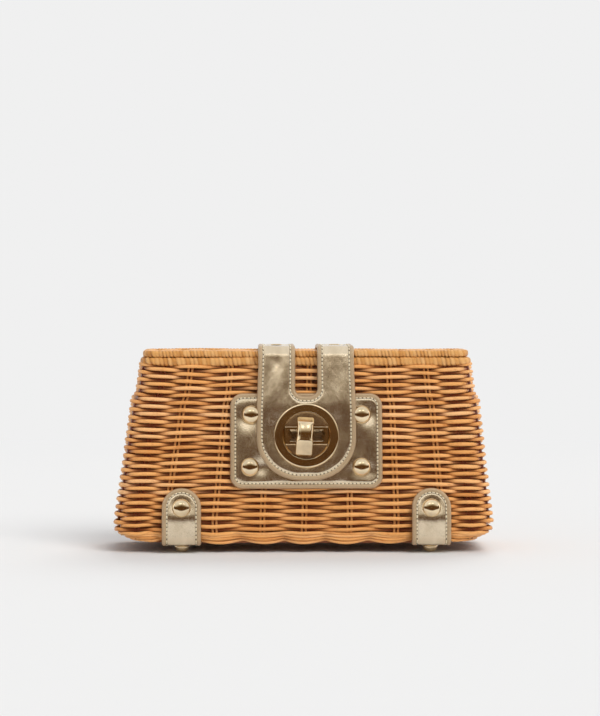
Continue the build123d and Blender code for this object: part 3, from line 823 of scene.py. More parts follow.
def cut_sheet(bundle, outlines, real, place, profile, thick, insets, spacing, slot=0, ripple=None, recess=None):
    """A sheet with rounded edges. outlines bound it, real are the edges that shape its profile, and it stays
    open where the two part. place puts a flat point at a height above the carrier. recess is the middle,
    radius and depth of a round seat in its back."""
    points = np.vstack(outlines)
    constraints = []
    begin = 0
    for outline in outlines:
        count = len(outline)
        constraints += [(begin + i, begin + (i + 1) % count) for i in range(count)]
        begin += count
    extra = []
    for outline in outlines:
        normal = inward(outline, outlines)
        for inset in insets:
            moved = outline + normal * inset
            keep = distance(moved, outlines) > inset - 0.03
            extra.append(moved[keep])
    low = points.min(0)
    high = points.max(0)
    grid = []
    row = 0
    v = low[1] + spacing * 0.5
    while v < high[1]:
        u = low[0] + (spacing * 0.5 if row % 2 else 0.0)
        while u < high[0]:
            grid.append((u, v))
            u += spacing
        v += spacing * 0.866
        row += 1
    grid = np.array(grid)
    grid = grid[distance(grid, outlines) > insets[-1] + spacing * 0.45]
    everything = np.vstack([points] + extra + [grid])
    result = delaunay_2d_cdt([Vector(p) for p in everything], constraints, [], 0, 1e-5)
    flat = np.array([tuple(v) for v in result[0]])
    faces = np.array([tuple(f) for f in result[2] if len(f) == 3])
    middle = flat[faces].mean(1)
    faces = faces[distance(middle, outlines) > 1e-4]
    a, b, c = flat[faces[:, 0]], flat[faces[:, 1]], flat[faces[:, 2]]
    area = (b[:, 0] - a[:, 0]) * (c[:, 1] - a[:, 1]) - (b[:, 1] - a[:, 1]) * (c[:, 0] - a[:, 0])
    faces[area < 0] = faces[area < 0][:, ::-1]
    shape = np.maximum(distance(flat, real), 0.0)
    top = profile(shape) * thick
    if ripple is not None:
        top = top + ripple(flat, shape)
    under = thick * 0.45 * np.clip(1.0 - shape / 0.6, 0.0, 1.0) ** 2
    if recess is not None:
        u, v, radius, depth = recess
        gap = np.hypot(flat[:, 0] - u, flat[:, 1] - v)
        under = np.maximum(under, depth * np.clip((radius - gap) / 0.4, 0.0, 1.0))
    joined = (np.abs(distance(flat, outlines)) < 1e-3) & (shape <= 1e-3)
    index = np.arange(len(flat))
    back = np.where(joined, index, len(flat) + index)
    both = np.vstack([place(flat, top), place(flat, under)])
    triangles = [tuple(f) for f in faces] + [tuple(back[f][::-1]) for f in faces]
    edge = np.concatenate([shape, shape]) / 10.0
    wide = np.vstack([flat, flat])
    around = np.concatenate([top, np.full(len(flat), -5.0)])
    bundle.add(both, triangles, slot, edge=edge, flat=np.column_stack([wide, around]))


def on_front(extra=0.0, sign=1.0):
    """Places a flat point on the front wall, or the back one, at a height above the wall's middle."""
    def place(flat, height):
        u = flat[:, 0]
        v = flat[:, 1]
        d = height + extra
        x = u * sign
        y = -FRONT_Y + UP[1] * v + OUT[1] * d
        z = FLOOR_Z + UP[2] * v + OUT[2] * d
        return np.stack([x, y * sign, z], axis=1)
    return place


class Strip:
    """A bent line in the y and z plane that leather follows. The height is put on its outer side."""

    def __init__(self, corners, radii, start):
        points = []
        for i, corner in enumerate(corners):
            p = np.array(corner, float)
            if i == 0 or i == len(corners) - 1:
                points.append(p)
                continue
            before = unit(np.array(corners[i - 1], float) - p)
            after = unit(np.array(corners[i + 1], float) - p)
            half = math.acos(max(-1.0, min(1.0, float(before @ after)))) / 2
            radius = radii[i - 1]
            reach = radius / math.tan(half)
            centre = p + unit(before + after) * (radius / math.sin(half))
            a = p + before * reach - centre
            b = p + after * reach - centre
            begin = math.atan2(a[1], a[0])
            sweep = math.atan2(a[0] * b[1] - a[1] * b[0], float(a @ b))
            for k in range(13):
                angle = begin + sweep * k / 12
                points.append(centre + radius * np.array([math.cos(angle), math.sin(angle)]))
        self.points = np.array(points)
        steps = np.linalg.norm(np.diff(self.points, axis=0), axis=1)
        self.run = start + np.concatenate([[0.0], np.cumsum(steps)])
        ahead = unit(np.diff(self.points, axis=0))
        nodes = np.vstack([ahead[:1], unit(ahead[:-1] + ahead[1:]), ahead[-1:]])
        self.ahead = nodes
        self.end = self.run[-1]

    def place(self, centre_x=0.0, flip=1.0, sign=1.0):
        def function(flat, height):
            v = flat[:, 1]
            y = np.interp(v, self.run, self.points[:, 0])
            z = np.interp(v, self.run, self.points[:, 1])
            ty = np.interp(v, self.run, self.ahead[:, 0])
            tz = np.interp(v, self.run, self.ahead[:, 1])
            size = np.hypot(ty, tz)
            ny = -tz / size * flip
            nz = ty / size * flip
            return np.stack([centre_x + flat[:, 0], (y + ny * height) * sign, z + nz * height], axis=1)
        return function


def leather_profile(shape):
    """Rounded turned edge, a low step beside it, the needle line, then the soft field."""
    knots = [0.0, 0.25, 0.6, 1.1, 1.7, 2.3, 2.65, 2.95, 3.3, 3.8, 4.5, 7.0, 14.0]
    highs = [0.45, 0.72, 0.90, 0.99, 1.0, 0.95, 0.78, 0.68, 0.73, 0.88, 0.94, 0.97, 0.98]
    return np.interp(shape, knots, highs)


INSETS = [0.25, 0.6, 1.1, 1.7, 2.3, 2.65, 2.95, 3.3, 3.8, 4.5]


def soft_ripple(size, seed, dimples=(), bulge=0.0, middle=0.0, reach=28.0):
    """Shallow dents and long folds in thin leather, gone at its edges, and drawn in round its studs."""
    source = random.Random(seed)
    waves = []
    for _ in range(14):
        ku = source.uniform(-1.0, 1.0) * 0.55
        kv = source.uniform(-1.0, 1.0) * 0.24
        waves.append((ku, kv, source.uniform(0, 6.283), source.uniform(0.3, 1.0)))

    def ripple(flat, shape):
        total = np.zeros(len(flat))
        for ku, kv, phase, weight in waves:
            total += weight * np.sin(flat[:, 0] * ku + flat[:, 1] * kv + phase)
        inner = np.clip((shape - 3.4) / 2.5, 0.0, 1.0)
        total = total * size / 4.0 * inner - size * 0.4 * inner
        total = total + bulge * (1.0 - ((flat[:, 1] - middle) / reach) ** 2) * inner
        soft = np.clip((shape - 0.8) / 3.4, 0.0, 1.0)
        for u, v, pull, wide, tall in dimples:
            gap = np.hypot((flat[:, 0] - u) / wide, (flat[:, 1] - v) / tall)
            total = total - pull * np.exp(-gap ** 2) * soft
        return total
    return ripple


def stitches(bundle, outline, real, place, height, inset, pitch, limit=None, length=1.72, radius=0.40):
    """Short rounded threads one after another, a fixed way in from the edge and no further up than limit."""
    sides = 6
    rings = [(-1.0, 0.25), (-0.85, 0.75), (-0.4, 1.0), (0.4, 1.0), (0.85, 0.75), (1.0, 0.25)]
    line = outline + inward(outline, real) * inset
    line = line[distance(line, real) > inset - 0.05]
    line = np.vstack([line, line[:1]])
    steps = np.linalg.norm(np.diff(line, axis=0), axis=1)
    run = np.concatenate([[0.0], np.cumsum(steps)])
    count = max(4, int(round(run[-1] / pitch)))
    for k in range(count):
        s = (k + 0.5) * run[-1] / count
        p, q = (np.array([np.interp(at, run, line[:, i]) for i in (0, 1)]) for at in (s, s + 0.2))
        if np.linalg.norm(q - p) < 1e-6 or distance(p[None], real)[0] < inset - 0.2:
            continue
        if limit is not None and p[1] > limit:
            continue
        along = unit(q - p)
        cross = np.array([-along[1], along[0]])
        flats = []
        heights = []
        for share, size in rings:
            for j in range(sides):
                angle = 2 * math.pi * j / sides
                flats.append(p + along * share * length / 2 + cross * radius * size * math.cos(angle))
                heights.append(height - 0.10 * share * share + radius * size * math.sin(angle) * 0.8)
        flats = np.array(flats)
        heights = np.array(heights)
        jitter = rng.uniform(0, 50)
        bundle.add(place(flats, heights), capped_faces(len(rings), sides), 1, edge=np.full(len(flats), 1.0),
                   flat=np.column_stack([flats + jitter, heights]))


def leather(bundle, outlines, real, place, ripple, thick=LEATHER, recess=None):
    """A piece of foil leather with turned edges."""
    cut_sheet(bundle, outlines, real, place, leather_profile, thick, INSETS, 1.3, ripple=ripple, recess=recess)


def seam(bundle, outline, real, place, height=SEAM_HEIGHT, limit=None):
    stitches(bundle, outline, real, place, height, SEAM_INSET, SEAM_PITCH, limit)


# lock plate
PLATE_V = 60.7
PLATE_STUDS = ((-32.9, 76.3, -3.0, -2.6, 5.0, 5.2), (-33.7, 44.9, 6.4, 0.2, 4.6, 5.2),
               (33.1, 76.3, 4.0, 0.4, 4.4, 5.6), (32.9, 44.9, 0.4, -2.6, 7.5, 4.8))
plate_outline = rounded_rectangle(45.5, 28.7, 7.5, PLATE_V)
bundle = Bundle()
plate_place = on_front(WALL_FACE)
dimples = [(x + u, v + w, 1.05, wide, tall) for x, v, u, w, wide, tall in PLATE_STUDS]
leather(bundle, [plate_outline], [plate_outline], plate_place, soft_ripple(0.26, 3, dimples, 0.5, 62.0), 2.4)
seam(bundle, plate_outline, [plate_outline], plate_place, 2.02)
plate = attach(bundle.build("lock_plate_leather", [FOIL, THREAD]), ROOT)
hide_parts("lock_plate")

# flap: the tab, its two arms and the front of the straps over the lid
ARM_OUT = 28.8
SLOT_HALF = 6.5
SLOT_CORNER = 4.6
SLOT_LOW = 87.3 + SLOT_CORNER
TAB_LOW = 36.8
TAB_CORNER = 25.5
FLAP_D = 5.9


def front_line(v, d):
    return (-FRONT_Y + UP[1] * v + OUT[1] * d, FLOOR_Z + UP[2] * v + OUT[2] * d)


flap_strip = Strip([front_line(30.0, FLAP_D), front_line(66.0, FLAP_D), front_line(80.0, FLAP_D + 0.9),
                    front_line(106.0, FLAP_D - 0.1), (-23.6, LID_TOP), (2.0, LID_TOP)],
                   [120.0, 90.0, 30.0, 5.6], 30.0)
flap_end = flap_strip.end - 2.0


def flap_outline(top):
    points = []
    points += [(SLOT_HALF, top), (ARM_OUT, top)]
    points += [(ARM_OUT, TAB_LOW + TAB_CORNER)]
    points += arc_points(ARM_OUT - TAB_CORNER, TAB_LOW + TAB_CORNER, TAB_CORNER, 0, -90, 0.7)
    points += arc_points(-ARM_OUT + TAB_CORNER, TAB_LOW + TAB_CORNER, TAB_CORNER, -90, -180, 0.7)
    points += [(-ARM_OUT, top), (-SLOT_HALF, top)]
    points += arc_points(-SLOT_HALF + SLOT_CORNER, SLOT_LOW, SLOT_CORNER, 180, 270, 0.7)
    points += arc_points(SLOT_HALF - SLOT_CORNER, SLOT_LOW, SLOT_CORNER, 270, 360, 0.7)
    return dense(points, 0.7)


def flap_place(flat, height):
    """The flap spreads a little below its arms."""
    wide = flat.copy()
    wide[:, 0] = flat[:, 0] * (1.0 + 0.032 * np.clip((104.0 - flat[:, 1]) / 26.0, 0.0, 1.0))
    return flap_strip.place()(wide, height)


LOCK_V = 63.4
hole = dense([(u / 1.032, v) for u, v in arc_points(0.0, LOCK_V, 14.5, 0, 354, 1.0)], 1.0)
bundle = Bundle()
edge_line = flap_outline(flap_end + 30.0)
leather(bundle, [flap_outline(flap_end), hole], [edge_line, hole], flap_place,
        soft_ripple(0.20, 8, [(-17.5, 107.5, 0.5, 2.6, 5.0)]), recess=(0.0, LOCK_V, 17.5, 0.7))
seam(bundle, edge_line, [edge_line], flap_place, limit=flap_end - 1.0)
flap = bundle.build("flap_leather", [FOIL, THREAD])
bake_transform(flap)
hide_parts("closure_tab", "lid_strap_left", "lid_strap_right")

# straps behind: over the back of the lid and down the back wall
STRAP_X = 17.65
STRAP_HALF = 11.15


def back_line(v, d):
    y, z = front_line(v, d)
    return (-y, z)


back_top = (22.45, LID_TOP)
back_mid = back_line(111.6, 3.2)
rear_strip = Strip([(-2.0, LID_TOP), back_top, back_mid, back_line(66.0, 3.2)], [1.6, 20.0], 0.0)
rear_end = rear_strip.end
rear_low = rear_end - 7.0


def rear_outline(top):
    points = [(-STRAP_HALF, top), (-STRAP_HALF, rear_low - STRAP_HALF)]
    points += arc_points(0.0, rear_low - STRAP_HALF, STRAP_HALF, 180, 0, 0.7)
    points += [(STRAP_HALF, top)]
    return dense(points, 0.7)


bundle = Bundle()
for centre in (-STRAP_X, STRAP_X):
    place = rear_strip.place(centre)
    edge_line = rear_outline(-30.0)
    leather(bundle, [rear_outline(2.0)], [edge_line], place, soft_ripple(0.20, 12))
    seam(bundle, edge_line[edge_line[:, 1] > 2.5], [edge_line], place)
rear = bundle.build("rear_strap_leather", [FOIL, THREAD])
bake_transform(rear)
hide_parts("back_strap_left", "back_strap_right")

# foot tabs, folded under the base
TAB_X = 74.4
FOOT_HALF = 11.7
foot_top = 32.4
foot_strip = Strip([front_line(foot_top + 4.0, 3.2), (-41.0, 21.0), (-40.7, 6.9), (-16.3, 6.9)], [18.0, 2.6], -4.0)


def foot_outline():
    low = foot_strip.end - 0.01
    points = arc_points(0.0, FOOT_HALF, FOOT_HALF, 180, 360, 0.7)
    points += [(FOOT_HALF, low), (-FOOT_HALF, low)]
    return dense(points, 0.7)


for name, sign, node in (("front_foot_leather", 1.0, "front_foot_tabs"),
                         ("back_foot_leather", -1.0, "back_foot_tabs")):
    bundle = Bundle()
    for x in (-TAB_X, TAB_X):
        place = foot_strip.place(x, -1.0, sign)
        outline = foot_outline()
        ripple = soft_ripple(0.10, int(50 + x + sign), [(0.0, 10.6, 0.9, 5.2, 4.6)])
        leather(bundle, [outline], [outline], place, ripple)
        seam(bundle, outline, [outline], place)
    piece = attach(bundle.build(name, [FOIL, THREAD]), ROOT)
    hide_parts(node)


# turned metal
def lathe(bundle, profile, origin, axis, segments=40, slot=0):
    """Turns a profile of radius and height about axis."""
    axis = unit(np.array(axis, float))
    first = unit(np.cross(axis, [1.0, 0.0, 0.0])) if abs(axis[0]) < 0.9 else unit(np.cross(axis, [0.0, 1.0, 0.0]))
    second = np.cross(axis, first)
    rings = []
    for radius, height in profile:
        angle = np.arange(segments) * 2 * math.pi / segments
        rings.append(np.array(origin) + axis * height
                     + first[None] * (np.cos(angle) * radius)[:, None]
                     + second[None] * (np.sin(angle) * radius)[:, None])
    points = np.vstack(rings)
    faces = ring_faces(len(profile), segments, False)
    bundle.add(points, faces, slot)


def wall_at(x, v, d, sign=1.0):
    y, z = front_line(v, d)
    return (x * sign, y * sign, z)


bundle = Bundle()
def flat_dome(radius, height):
    """Half the outline of a stud head, flatter on top than a ball and rounder at its edge."""
    share = np.sin(np.radians(np.linspace(0.0, 90.0, 19))) ** 0.75
    rise = np.maximum(0.0, 1.0 - share ** 2.7) ** (1.0 / 2.7)
    upper = [(max(0.012, radius * a), 0.2 + (height - 0.2) * h) for a, h in zip(share[::-1], rise[::-1])]
    return [(0.01, 0.0), (radius - 0.2, 0.0)] + upper


stud = flat_dome(5.65, 4.6)
plate_stud = flat_dome(5.55, 4.7)
for x, v, *_ in PLATE_STUDS:
    lathe(bundle, plate_stud, wall_at(x, v, 4.9), OUT)
for sign in (1.0, -1.0):
    for x in (-TAB_X, TAB_X):
        lathe(bundle, stud, wall_at(x, 20.4, 5.1, sign), (0.0, OUT[1] * sign, OUT[2]))
for x in (-STRAP_X, STRAP_X):
    lathe(bundle, stud, wall_at(x, 83.0, 5.1, -1.0), (0.0, -OUT[1], OUT[2]))
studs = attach(bundle.build("domed_stud_heads", [GOLD]), ROOT)
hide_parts("domed_studs")

bundle = Bundle()
foot = [(0.01, 4.75), (4.5, 4.75), (4.5, 3.1)]
for i in range(1, 13):
    angle = math.radians(68.0) * i / 12
    foot.append((4.5 * math.cos(angle), 3.1 - 3.1 * math.sin(angle) / math.sin(math.radians(68.0))))
foot.append((0.01, 0.0))
foot = [(r, -h) for r, h in foot]
for x in (-TAB_X, TAB_X):
    for y in (-28.55, 28.55):
        lathe(bundle, foot, (x, y, 0.0), (0.0, 0.0, -1.0))
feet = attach(bundle.build("foot_stud_heads", [GOLD]), ROOT)
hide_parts("foot_studs")

# turn lock
lock_origin = np.array(wall_at(0.0, LOCK_V, 0.0))


def on_lock(extra):
    def place(flat, height):
        d = height + extra
        x = flat[:, 0]
        y = lock_origin[1] + UP[1] * flat[:, 1] + OUT[1] * d
        z = lock_origin[2] + UP[2] * flat[:, 1] + OUT[2] * d
        return np.stack([x, y, z], axis=1)
    return place


def plate_profile(shape):
    return np.interp(shape, [0.0, 0.12, 0.3, 0.6, 2.0], [0.45, 0.80, 0.95, 1.0, 1.0])


bundle = Bundle()
ring = [(14.25, 5.85), (14.25, 9.7), (14.26, 9.73), (14.3, 9.75), (14.5, 9.75), (18.2, 9.75),
        (18.4, 9.75), (18.85, 9.70),
        (19.15, 9.52), (19.28, 9.2), (19.3, 8.8), (19.25, 8.3), (19.0, 8.15), (14.42, 8.15), (14.42, 5.85)]
lathe(bundle, ring, lock_origin, OUT, 96)
# the two face segments take slot 1, the darker gold: painted shade in the ring's recess
for side in (1.0, -1.0):
    begin = math.degrees(math.asin(4.9 / 14.3))
    points = arc_points(0.0, 0.0, 14.3, begin, 180 - begin, 0.6)
    outline = dense([(x, y * side) for x, y in points], 0.6)
    cut_sheet(bundle, [outline], [outline], on_lock(8.3), plate_profile, 0.5, [0.12, 0.3, 0.6], 1.6, 1)
angle = np.radians(np.arange(0, 360, 3))
out = np.cos(angle)[:, None] * np.array([1.0, 0.0, 0.0]) + np.sin(angle)[:, None] * UP
open_side = np.clip((0.42 - np.sin(angle)) / 0.2, 0.0, 1.0) * np.clip((0.97 + np.sin(angle)) / 0.12, 0.0, 1.0)
wide = (0.45 + 0.85 * open_side)[:, None]
high = lock_origin + out * 14.27 + OUT * 9.74
low = lock_origin + out * (14.27 - 0.8 * wide) + OUT * (9.74 - wide)
deep = lock_origin + out * (14.27 - 0.8 * wide) + OUT * 8.2
for first, second in ((high, low), (low, deep)):
    points = np.stack([first, second], axis=1).reshape(-1, 3)
    count = len(points)
    bundle.add(points, [(i, i + 1, (i + 3) % count, (i + 2) % count) for i in range(0, count, 2)], 0)
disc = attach(bundle.build("eyelet_ring", [GOLD, GOLD_PAINTED_SHADE]), TAB)
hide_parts("eyelet_disc")

bundle = Bundle()
begin = math.degrees(math.asin(4.5 / 12.0))
points = arc_points(0.0, 0.0, 12.0, -begin, begin, 0.6) + arc_points(0.0, 0.0, 12.0, 180 - begin, 180 + begin, 0.6)
outline = dense(points, 0.6)


def boss_profile(shape):
    return np.interp(shape, [0.0, 0.2, 0.5, 0.9, 2.0], [0.15, 0.52, 0.84, 1.0, 1.0])


# the boss takes the darker gold too: painted shade in the ring's recess
cut_sheet(bundle, [outline], [outline], on_lock(8.3), boss_profile, 1.05, [0.2, 0.5, 0.9], 1.6, 0)
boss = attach(bundle.build("lock_boss_face", [GOLD_PAINTED_SHADE]), ROOT)


def knob_piece():
    """The turning bar: a long flat slope at each end and a low rounded crown between them."""
    bundle = Bundle()
    half_long = 11.25
    half_wide = 4.85
    low = 9.95
    tilt = math.radians(-3.5)
    along = UP * math.cos(tilt) - np.array([math.sin(tilt), 0.0, 0.0])
    across = UP * math.sin(tilt) + np.array([math.cos(tilt), 0.0, 0.0])
    middle = lock_origin + UP * -0.5 + np.array([-1.0, 0.0, 0.0])
    turn = np.radians(np.linspace(0.0, 19.0, 8))
    lengths = np.concatenate([[-11.25, -3.8, -3.4], 1.2 + 19.5 * np.sin(turn), [11.25]])
    heights = np.concatenate([[1.5, 7.3, 7.5], 7.55 - 19.5 * (1.0 - np.cos(turn)), [1.6]])
    stations = np.concatenate([[-1.0, -0.995, -0.98, -0.95], np.linspace(-0.9, -0.345, 8),
                               [-0.33, -0.302, -0.26, -0.1], np.linspace(0.0, 0.9, 22), [0.95, 0.98, 0.995, 1.0]])
    rings = []
    for share in stations:
        length = share * half_long
        high = float(np.interp(length, lengths, heights))
        wide = half_wide - 0.5 * max(0.0, (abs(share) - 0.95) / 0.05)
        corner = 0.7 + 2.2 * max(0.0, 1.0 - (abs(length - 1.8) / 6.4) ** 4)
        corner = min(corner, high * 0.6)
        section = [(-wide + 0.3, 0.0), (-wide, 0.3)]
        for begin, centre in ((math.pi, corner - wide), (math.pi / 2, wide - corner)):
            for angle in np.linspace(begin, begin - math.pi / 2, 6):
                section.append((centre + corner * math.cos(angle), high - corner + corner * math.sin(angle)))
        section += [(wide, 0.3), (wide - 0.3, 0.0)]
        ring_points = []
        for a, h in section:
            ring_points.append(middle + along * length + OUT * (low + h) + across * a)
        rings.append(ring_points)
    sides = len(rings[0])
    faces = ring_faces(len(rings), sides, False)
    faces.append(tuple(range(sides)))
    faces.append(tuple(reversed(range((len(rings) - 1) * sides, len(rings) * sides))))
    bundle.add(np.array(rings).reshape(-1, 3), faces)
    return bundle.build("turn_bar", [GOLD])


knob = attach(knob_piece(), KNOB)
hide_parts("turn_knob")

bundle = Bundle()
rivet = [(0.01, 0.0), (3.4, 0.0), (3.4, 0.16), (3.1, 0.34), (2.2, 0.48), (1.1, 0.55), (0.01, 0.57)]
for x in (-STRAP_X, STRAP_X):
    lathe(bundle, rivet, (x, 0.0, 123.42), (0.0, 0.0, 1.0), 32)
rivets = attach(bundle.build("lid_rivet_heads", [GOLD]), LID)
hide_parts("lid_rivets")

for node in ("lock_base", "lock_back_plate", "eyelet_clinch_ring", "stem_washer"):
    piece = frame["nodes"][node]
    piece.data.materials.clear()
    piece.data.materials.append(GOLD)


# linings
def lining_bag():
    """The cloth inside: it sags a little between its hems, in soft folds all round."""
    bundle = Bundle()
    levels = np.concatenate([[10.8, 10.9, 11.6], np.linspace(13.0, 114.6, 34), [115.2, 115.7]])
    around = 220
    wander = Drift([5, 9, 13, 21], 0.16, 71)
    rings_out = []
    rings_in = []
    for level in levels:
        part = (level - 10.8) / 105.0
        half_x = 107.9 - 11.8 * part - 0.4
        half_y = 33.5 - 17.6 * part - 0.3
        loop = Loop(half_x, half_y, 5.0)
        s = np.arange(around) * loop.length / around
        x, y, nx, ny = loop.at(s)
        share = s / loop.length
        soft = math.sin(math.pi * min(1.0, max(0.0, part))) * 0.9
        fold = wander.at(share, part * 5.0) * soft - 0.3 * soft
        shifted = x + sway(level)
        for rings, off, z in ((rings_out, fold, level), (rings_in, fold - 0.7, max(level, 11.5))):
            rings.append(np.stack([shifted + nx * off, y + ny * off, np.full_like(x, z)], axis=1))
    rings = rings_out + rings_in[::-1]
    points = np.vstack(rings)
    faces = ring_faces(len(rings), around, False)
    length = np.tile(np.arange(around) * 2.5, len(rings))
    height = np.repeat(np.concatenate([levels, levels[::-1]]), around)
    flat = np.column_stack([length, height, np.zeros(len(length))])
    bundle.add(points, faces, 0, flat=flat)
    for z, low in ((10.8, True), (11.5, False)):
        loop = Loop(106.6 - (0.0 if low else 0.7), 33.2 - (0.0 if low else 0.7), 5.0)
        s = np.arange(around) * loop.length / around
        x, y, nx, ny = loop.at(s)
        rings = []
        for size in (1.0, 0.75, 0.5, 0.25, 0.02):
            rings.append(np.stack([x * size + sway(z), y * size, np.full_like(x, z)], axis=1))
        points = np.vstack(rings)
        bundle.add(points, ring_faces(len(rings), around, False), 0, flat=points)
    return bundle


bundle = lining_bag()
count_turns = 200
hem = Loop(95.1, 15.9, 5.0)
for k in range(count_turns):
    s = (k + 0.5) * hem.length / count_turns
    x, y, nx, ny = (value[0] for value in hem.at(np.array([s])))
    x2, y2, _, _ = (value[0] for value in hem.at(np.array([s + 0.3])))
    along = unit(np.array([x2 - x, y2 - y, 0.0]))
    centre = np.array([x - nx * 0.95, y - ny * 0.95, 112.6])
    steps = np.linspace(-0.85, 0.85, 5)
    points = centre[None] + along[None] * steps[:, None]
    sizes = np.array([0.08, 0.2, 0.24, 0.2, 0.08])
    across = np.array([nx, ny, 0.0])
    tube(bundle, points, across, np.array([0.0, 0.0, 1.0]), sizes, sizes, 5, False, 0.5, slot=1)
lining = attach(bundle.build("lining_bag", [LINING, THREAD]), ROOT)
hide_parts("lining_box")


def lid_lining():
    bundle = Bundle()
    outline = rounded_rectangle(95.4, 15.8, 5.0, 0.0, 1.6)

    def place(flat, height):
        return np.stack([flat[:, 0], flat[:, 1], 116.72 - height], axis=1)

    def profile(shape):
        return np.interp(shape, [0.0, 0.5, 1.6, 3.0, 3.6, 6.0], [0.5, 0.9, 1.0, 0.9, 0.8, 0.85])

    cut_sheet(bundle, [outline], [outline], place, profile, 0.66, [0.5, 1.6, 3.0, 3.6], 2.4)
    stitches(bundle, outline, [outline], place, 0.52, 3.3, 3.0, length=2.0, radius=0.2)
    return bundle.build("lid_lining_cloth", [LINING, THREAD])


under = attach(lid_lining(), LID)
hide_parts("lid_lining_sheet")

for piece in frame["nodes"].values():
    if not piece.data.materials:
        piece.data.materials.append(CANE)


# floor, lights and camera
BACKGROUND = (0.871, 0.871, 0.871)


def quad(name, half_x, half_y):
    mesh = bpy.data.meshes.new(name)
    corners = [(-half_x, -half_y, 0.0), (half_x, -half_y, 0.0), (half_x, half_y, 0.0), (-half_x, half_y, 0.0)]
    mesh.from_pydata(corners, [], [(0, 1, 2, 3)])
    return stand(name, mesh)


def heading(azimuth, elevation):
    # azimuth 0 is the front of the bag, in degrees
    a = math.radians(azimuth)
    e = math.radians(elevation)
    return Vector((math.sin(a) * math.cos(e), -math.cos(a) * math.cos(e), math.sin(e)))


def aim(piece, azimuth, elevation, centre, away):
    toward = heading(azimuth, elevation)
    piece.rotation_mode = "QUATERNION"
    piece.rotation_quaternion = toward.to_track_quat("Z", "Y")
    piece.location = Vector(centre) + toward * away


def emission(tree, colour, strength):
    node = tree.nodes.new("ShaderNodeEmission")
    node.inputs["Color"].default_value = (*colour, 1.0)
    node.inputs["Strength"].default_value = strength
    return node.outputs[0]


def floor_piece():
    piece = quad("floor", 30.0, 30.0)
    material, tree, shader = new_material("pale_floor")
    shader.inputs["Base Color"].default_value = (0.812, 0.810, 0.808, 1.0)
    shader.inputs["Roughness"].default_value = 1.0
    shader.inputs["Specular IOR Level"].default_value = 0.0
    place = tree.nodes.new("ShaderNodeTexCoord").outputs["Object"]
    gap = tree.nodes.new("ShaderNodeVectorMath")
    gap.operation = "LENGTH"
    link(tree, scaled(tree, place, (1.0, 0.8, 1.0)), gap.inputs[0])
    far = math_node(tree, "MULTIPLY", gap.outputs["Value"], 0.5)
    far = ramp(tree, far, [(0.20, BLACK), (0.42, WHITE)], True)
    mix = tree.nodes.new("ShaderNodeMixShader")
    link(tree, far, mix.inputs[0])
    link(tree, shader.outputs[0], mix.inputs[1])
    link(tree, emission(tree, BACKGROUND, 1.0), mix.inputs[2])
    link(tree, mix.outputs[0], tree.nodes["Material Output"].inputs["Surface"])
    piece.data.materials.append(material)


floor_piece()

world = bpy.data.worlds.new("studio")
bpy.context.scene.world = world
world.use_nodes = True
tree = world.node_tree
base = tree.nodes["Background"]
base.inputs["Color"].default_value = (0.95, 0.97, 1.0, 1.0)
base.inputs["Strength"].default_value = 0.48
seen = tree.nodes.new("ShaderNodeBackground")
seen.inputs["Color"].default_value = (*BACKGROUND, 1.0)
seen.inputs["Strength"].default_value = 1.0
path = tree.nodes.new("ShaderNodeLightPath")
direct = math_node(tree, "ADD", path.outputs["Is Camera Ray"], path.outputs["Is Glossy Ray"])
direct = math_node(tree, "ADD", direct, path.outputs["Is Transmission Ray"], True)
mix = tree.nodes.new("ShaderNodeMixShader")
link(tree, direct, mix.inputs[0])
link(tree, base.outputs[0], mix.inputs[1])
link(tree, seen.outputs[0], mix.inputs[2])
link(tree, mix.outputs[0], tree.nodes["World Output"].inputs["Surface"])


def sun(name, azimuth, elevation, strength, angle, colour):
    lamp = bpy.data.lights.new(name, "SUN")
    lamp.energy = strength
    lamp.angle = math.radians(angle)
    lamp.color = colour
    piece = stand(name, lamp)
    aim(piece, azimuth, elevation, (0.0, 0.0, 0.0), 2.0)
    piece.visible_glossy = False


sun("key", 32.0, 44.0, 1.80, 38.0, (1.0, 0.985, 0.96))
sun("top", 162.0, 50.0, 0.95, 34.0, (1.0, 0.99, 0.97))


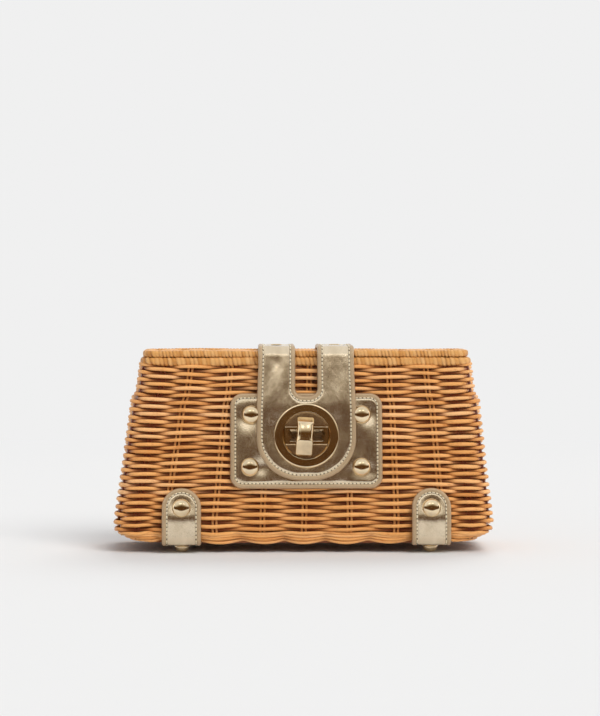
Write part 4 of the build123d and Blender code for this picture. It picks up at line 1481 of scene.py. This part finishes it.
def card(name, azimuth, elevation, away, width, height, colour, strength):
    """A studio card or flag: metal and lacquer show it, and it throws no light or shadow."""
    piece = quad(name, width / 2, height / 2)
    aim(piece, azimuth, elevation, (0.0, 0.0, 0.06), away)
    material, tree, shader = new_material(name + "_look")
    tree.nodes.remove(shader)
    link(tree, emission(tree, colour, strength), tree.nodes["Material Output"].inputs["Surface"])
    piece.data.materials.append(material)
    piece.visible_camera = False
    piece.visible_diffuse = False
    piece.visible_transmission = False
    piece.visible_shadow = False
    piece.visible_volume_scatter = False
    return piece


flag = card("flag_front", 0.0, 16.0, 3.0, 6.4, 2.1, (0.16, 0.115, 0.065), 1.0)
tree = flag.data.materials[0].node_tree
split = tree.nodes.new("ShaderNodeSeparateXYZ")
link(tree, tree.nodes.new("ShaderNodeTexCoord").outputs["Object"], split.inputs[0])
level = math_node(tree, "ADD", math_node(tree, "MULTIPLY", split.outputs["Y"], 0.476), 0.5)
fade = ramp(tree, level, [(0.0, (0.11, 0.050, 0.018)), (0.50, (0.085, 0.038, 0.010)),
                          (0.62, (0.16, 0.110, 0.062)),
                          (0.73, (0.52, 0.46, 0.37)), (1.0, (0.80, 0.77, 0.71))], True)
link(tree, fade, next(node for node in tree.nodes if node.type == "EMISSION").inputs["Color"])
SOFTBOX = (1.0, 0.98, 0.94)
DARK_CARD = (0.10, 0.050, 0.018)
card("box_left", -10.0, 36.0, 2.0, 0.44, 0.26, SOFTBOX, 2.2)
card("box_right", 13.0, 36.0, 2.0, 0.28, 0.26, SOFTBOX, 2.2)
for side, sign in (("left", -1.0), ("right", 1.0)):
    card("edge_" + side, sign * 104.0, 16.0, 2.5, 1.1, 1.3, SOFTBOX, 2.0)
    card("flag_" + side, sign * 62.0, 8.0, 3.0, 2.4, 1.1, DARK_CARD, 1.0)


camera_data = bpy.data.cameras.new("camera")
camera = stand("camera", camera_data)
bpy.context.scene.camera = camera
camera_data.sensor_width = 36.0
camera_data.lens = 125.7
toward = heading(-1.0, 1.8)
camera.location = Vector((-0.00366, -0.0245, 0.1160)) + toward * 1.5
camera.rotation_mode = "QUATERNION"
camera.rotation_quaternion = (-toward).to_track_quat("-Z", "Y")
camera_data.clip_start = 0.05
camera_data.clip_end = 100.0

bpy.context.scene.view_settings.view_transform = "Standard"
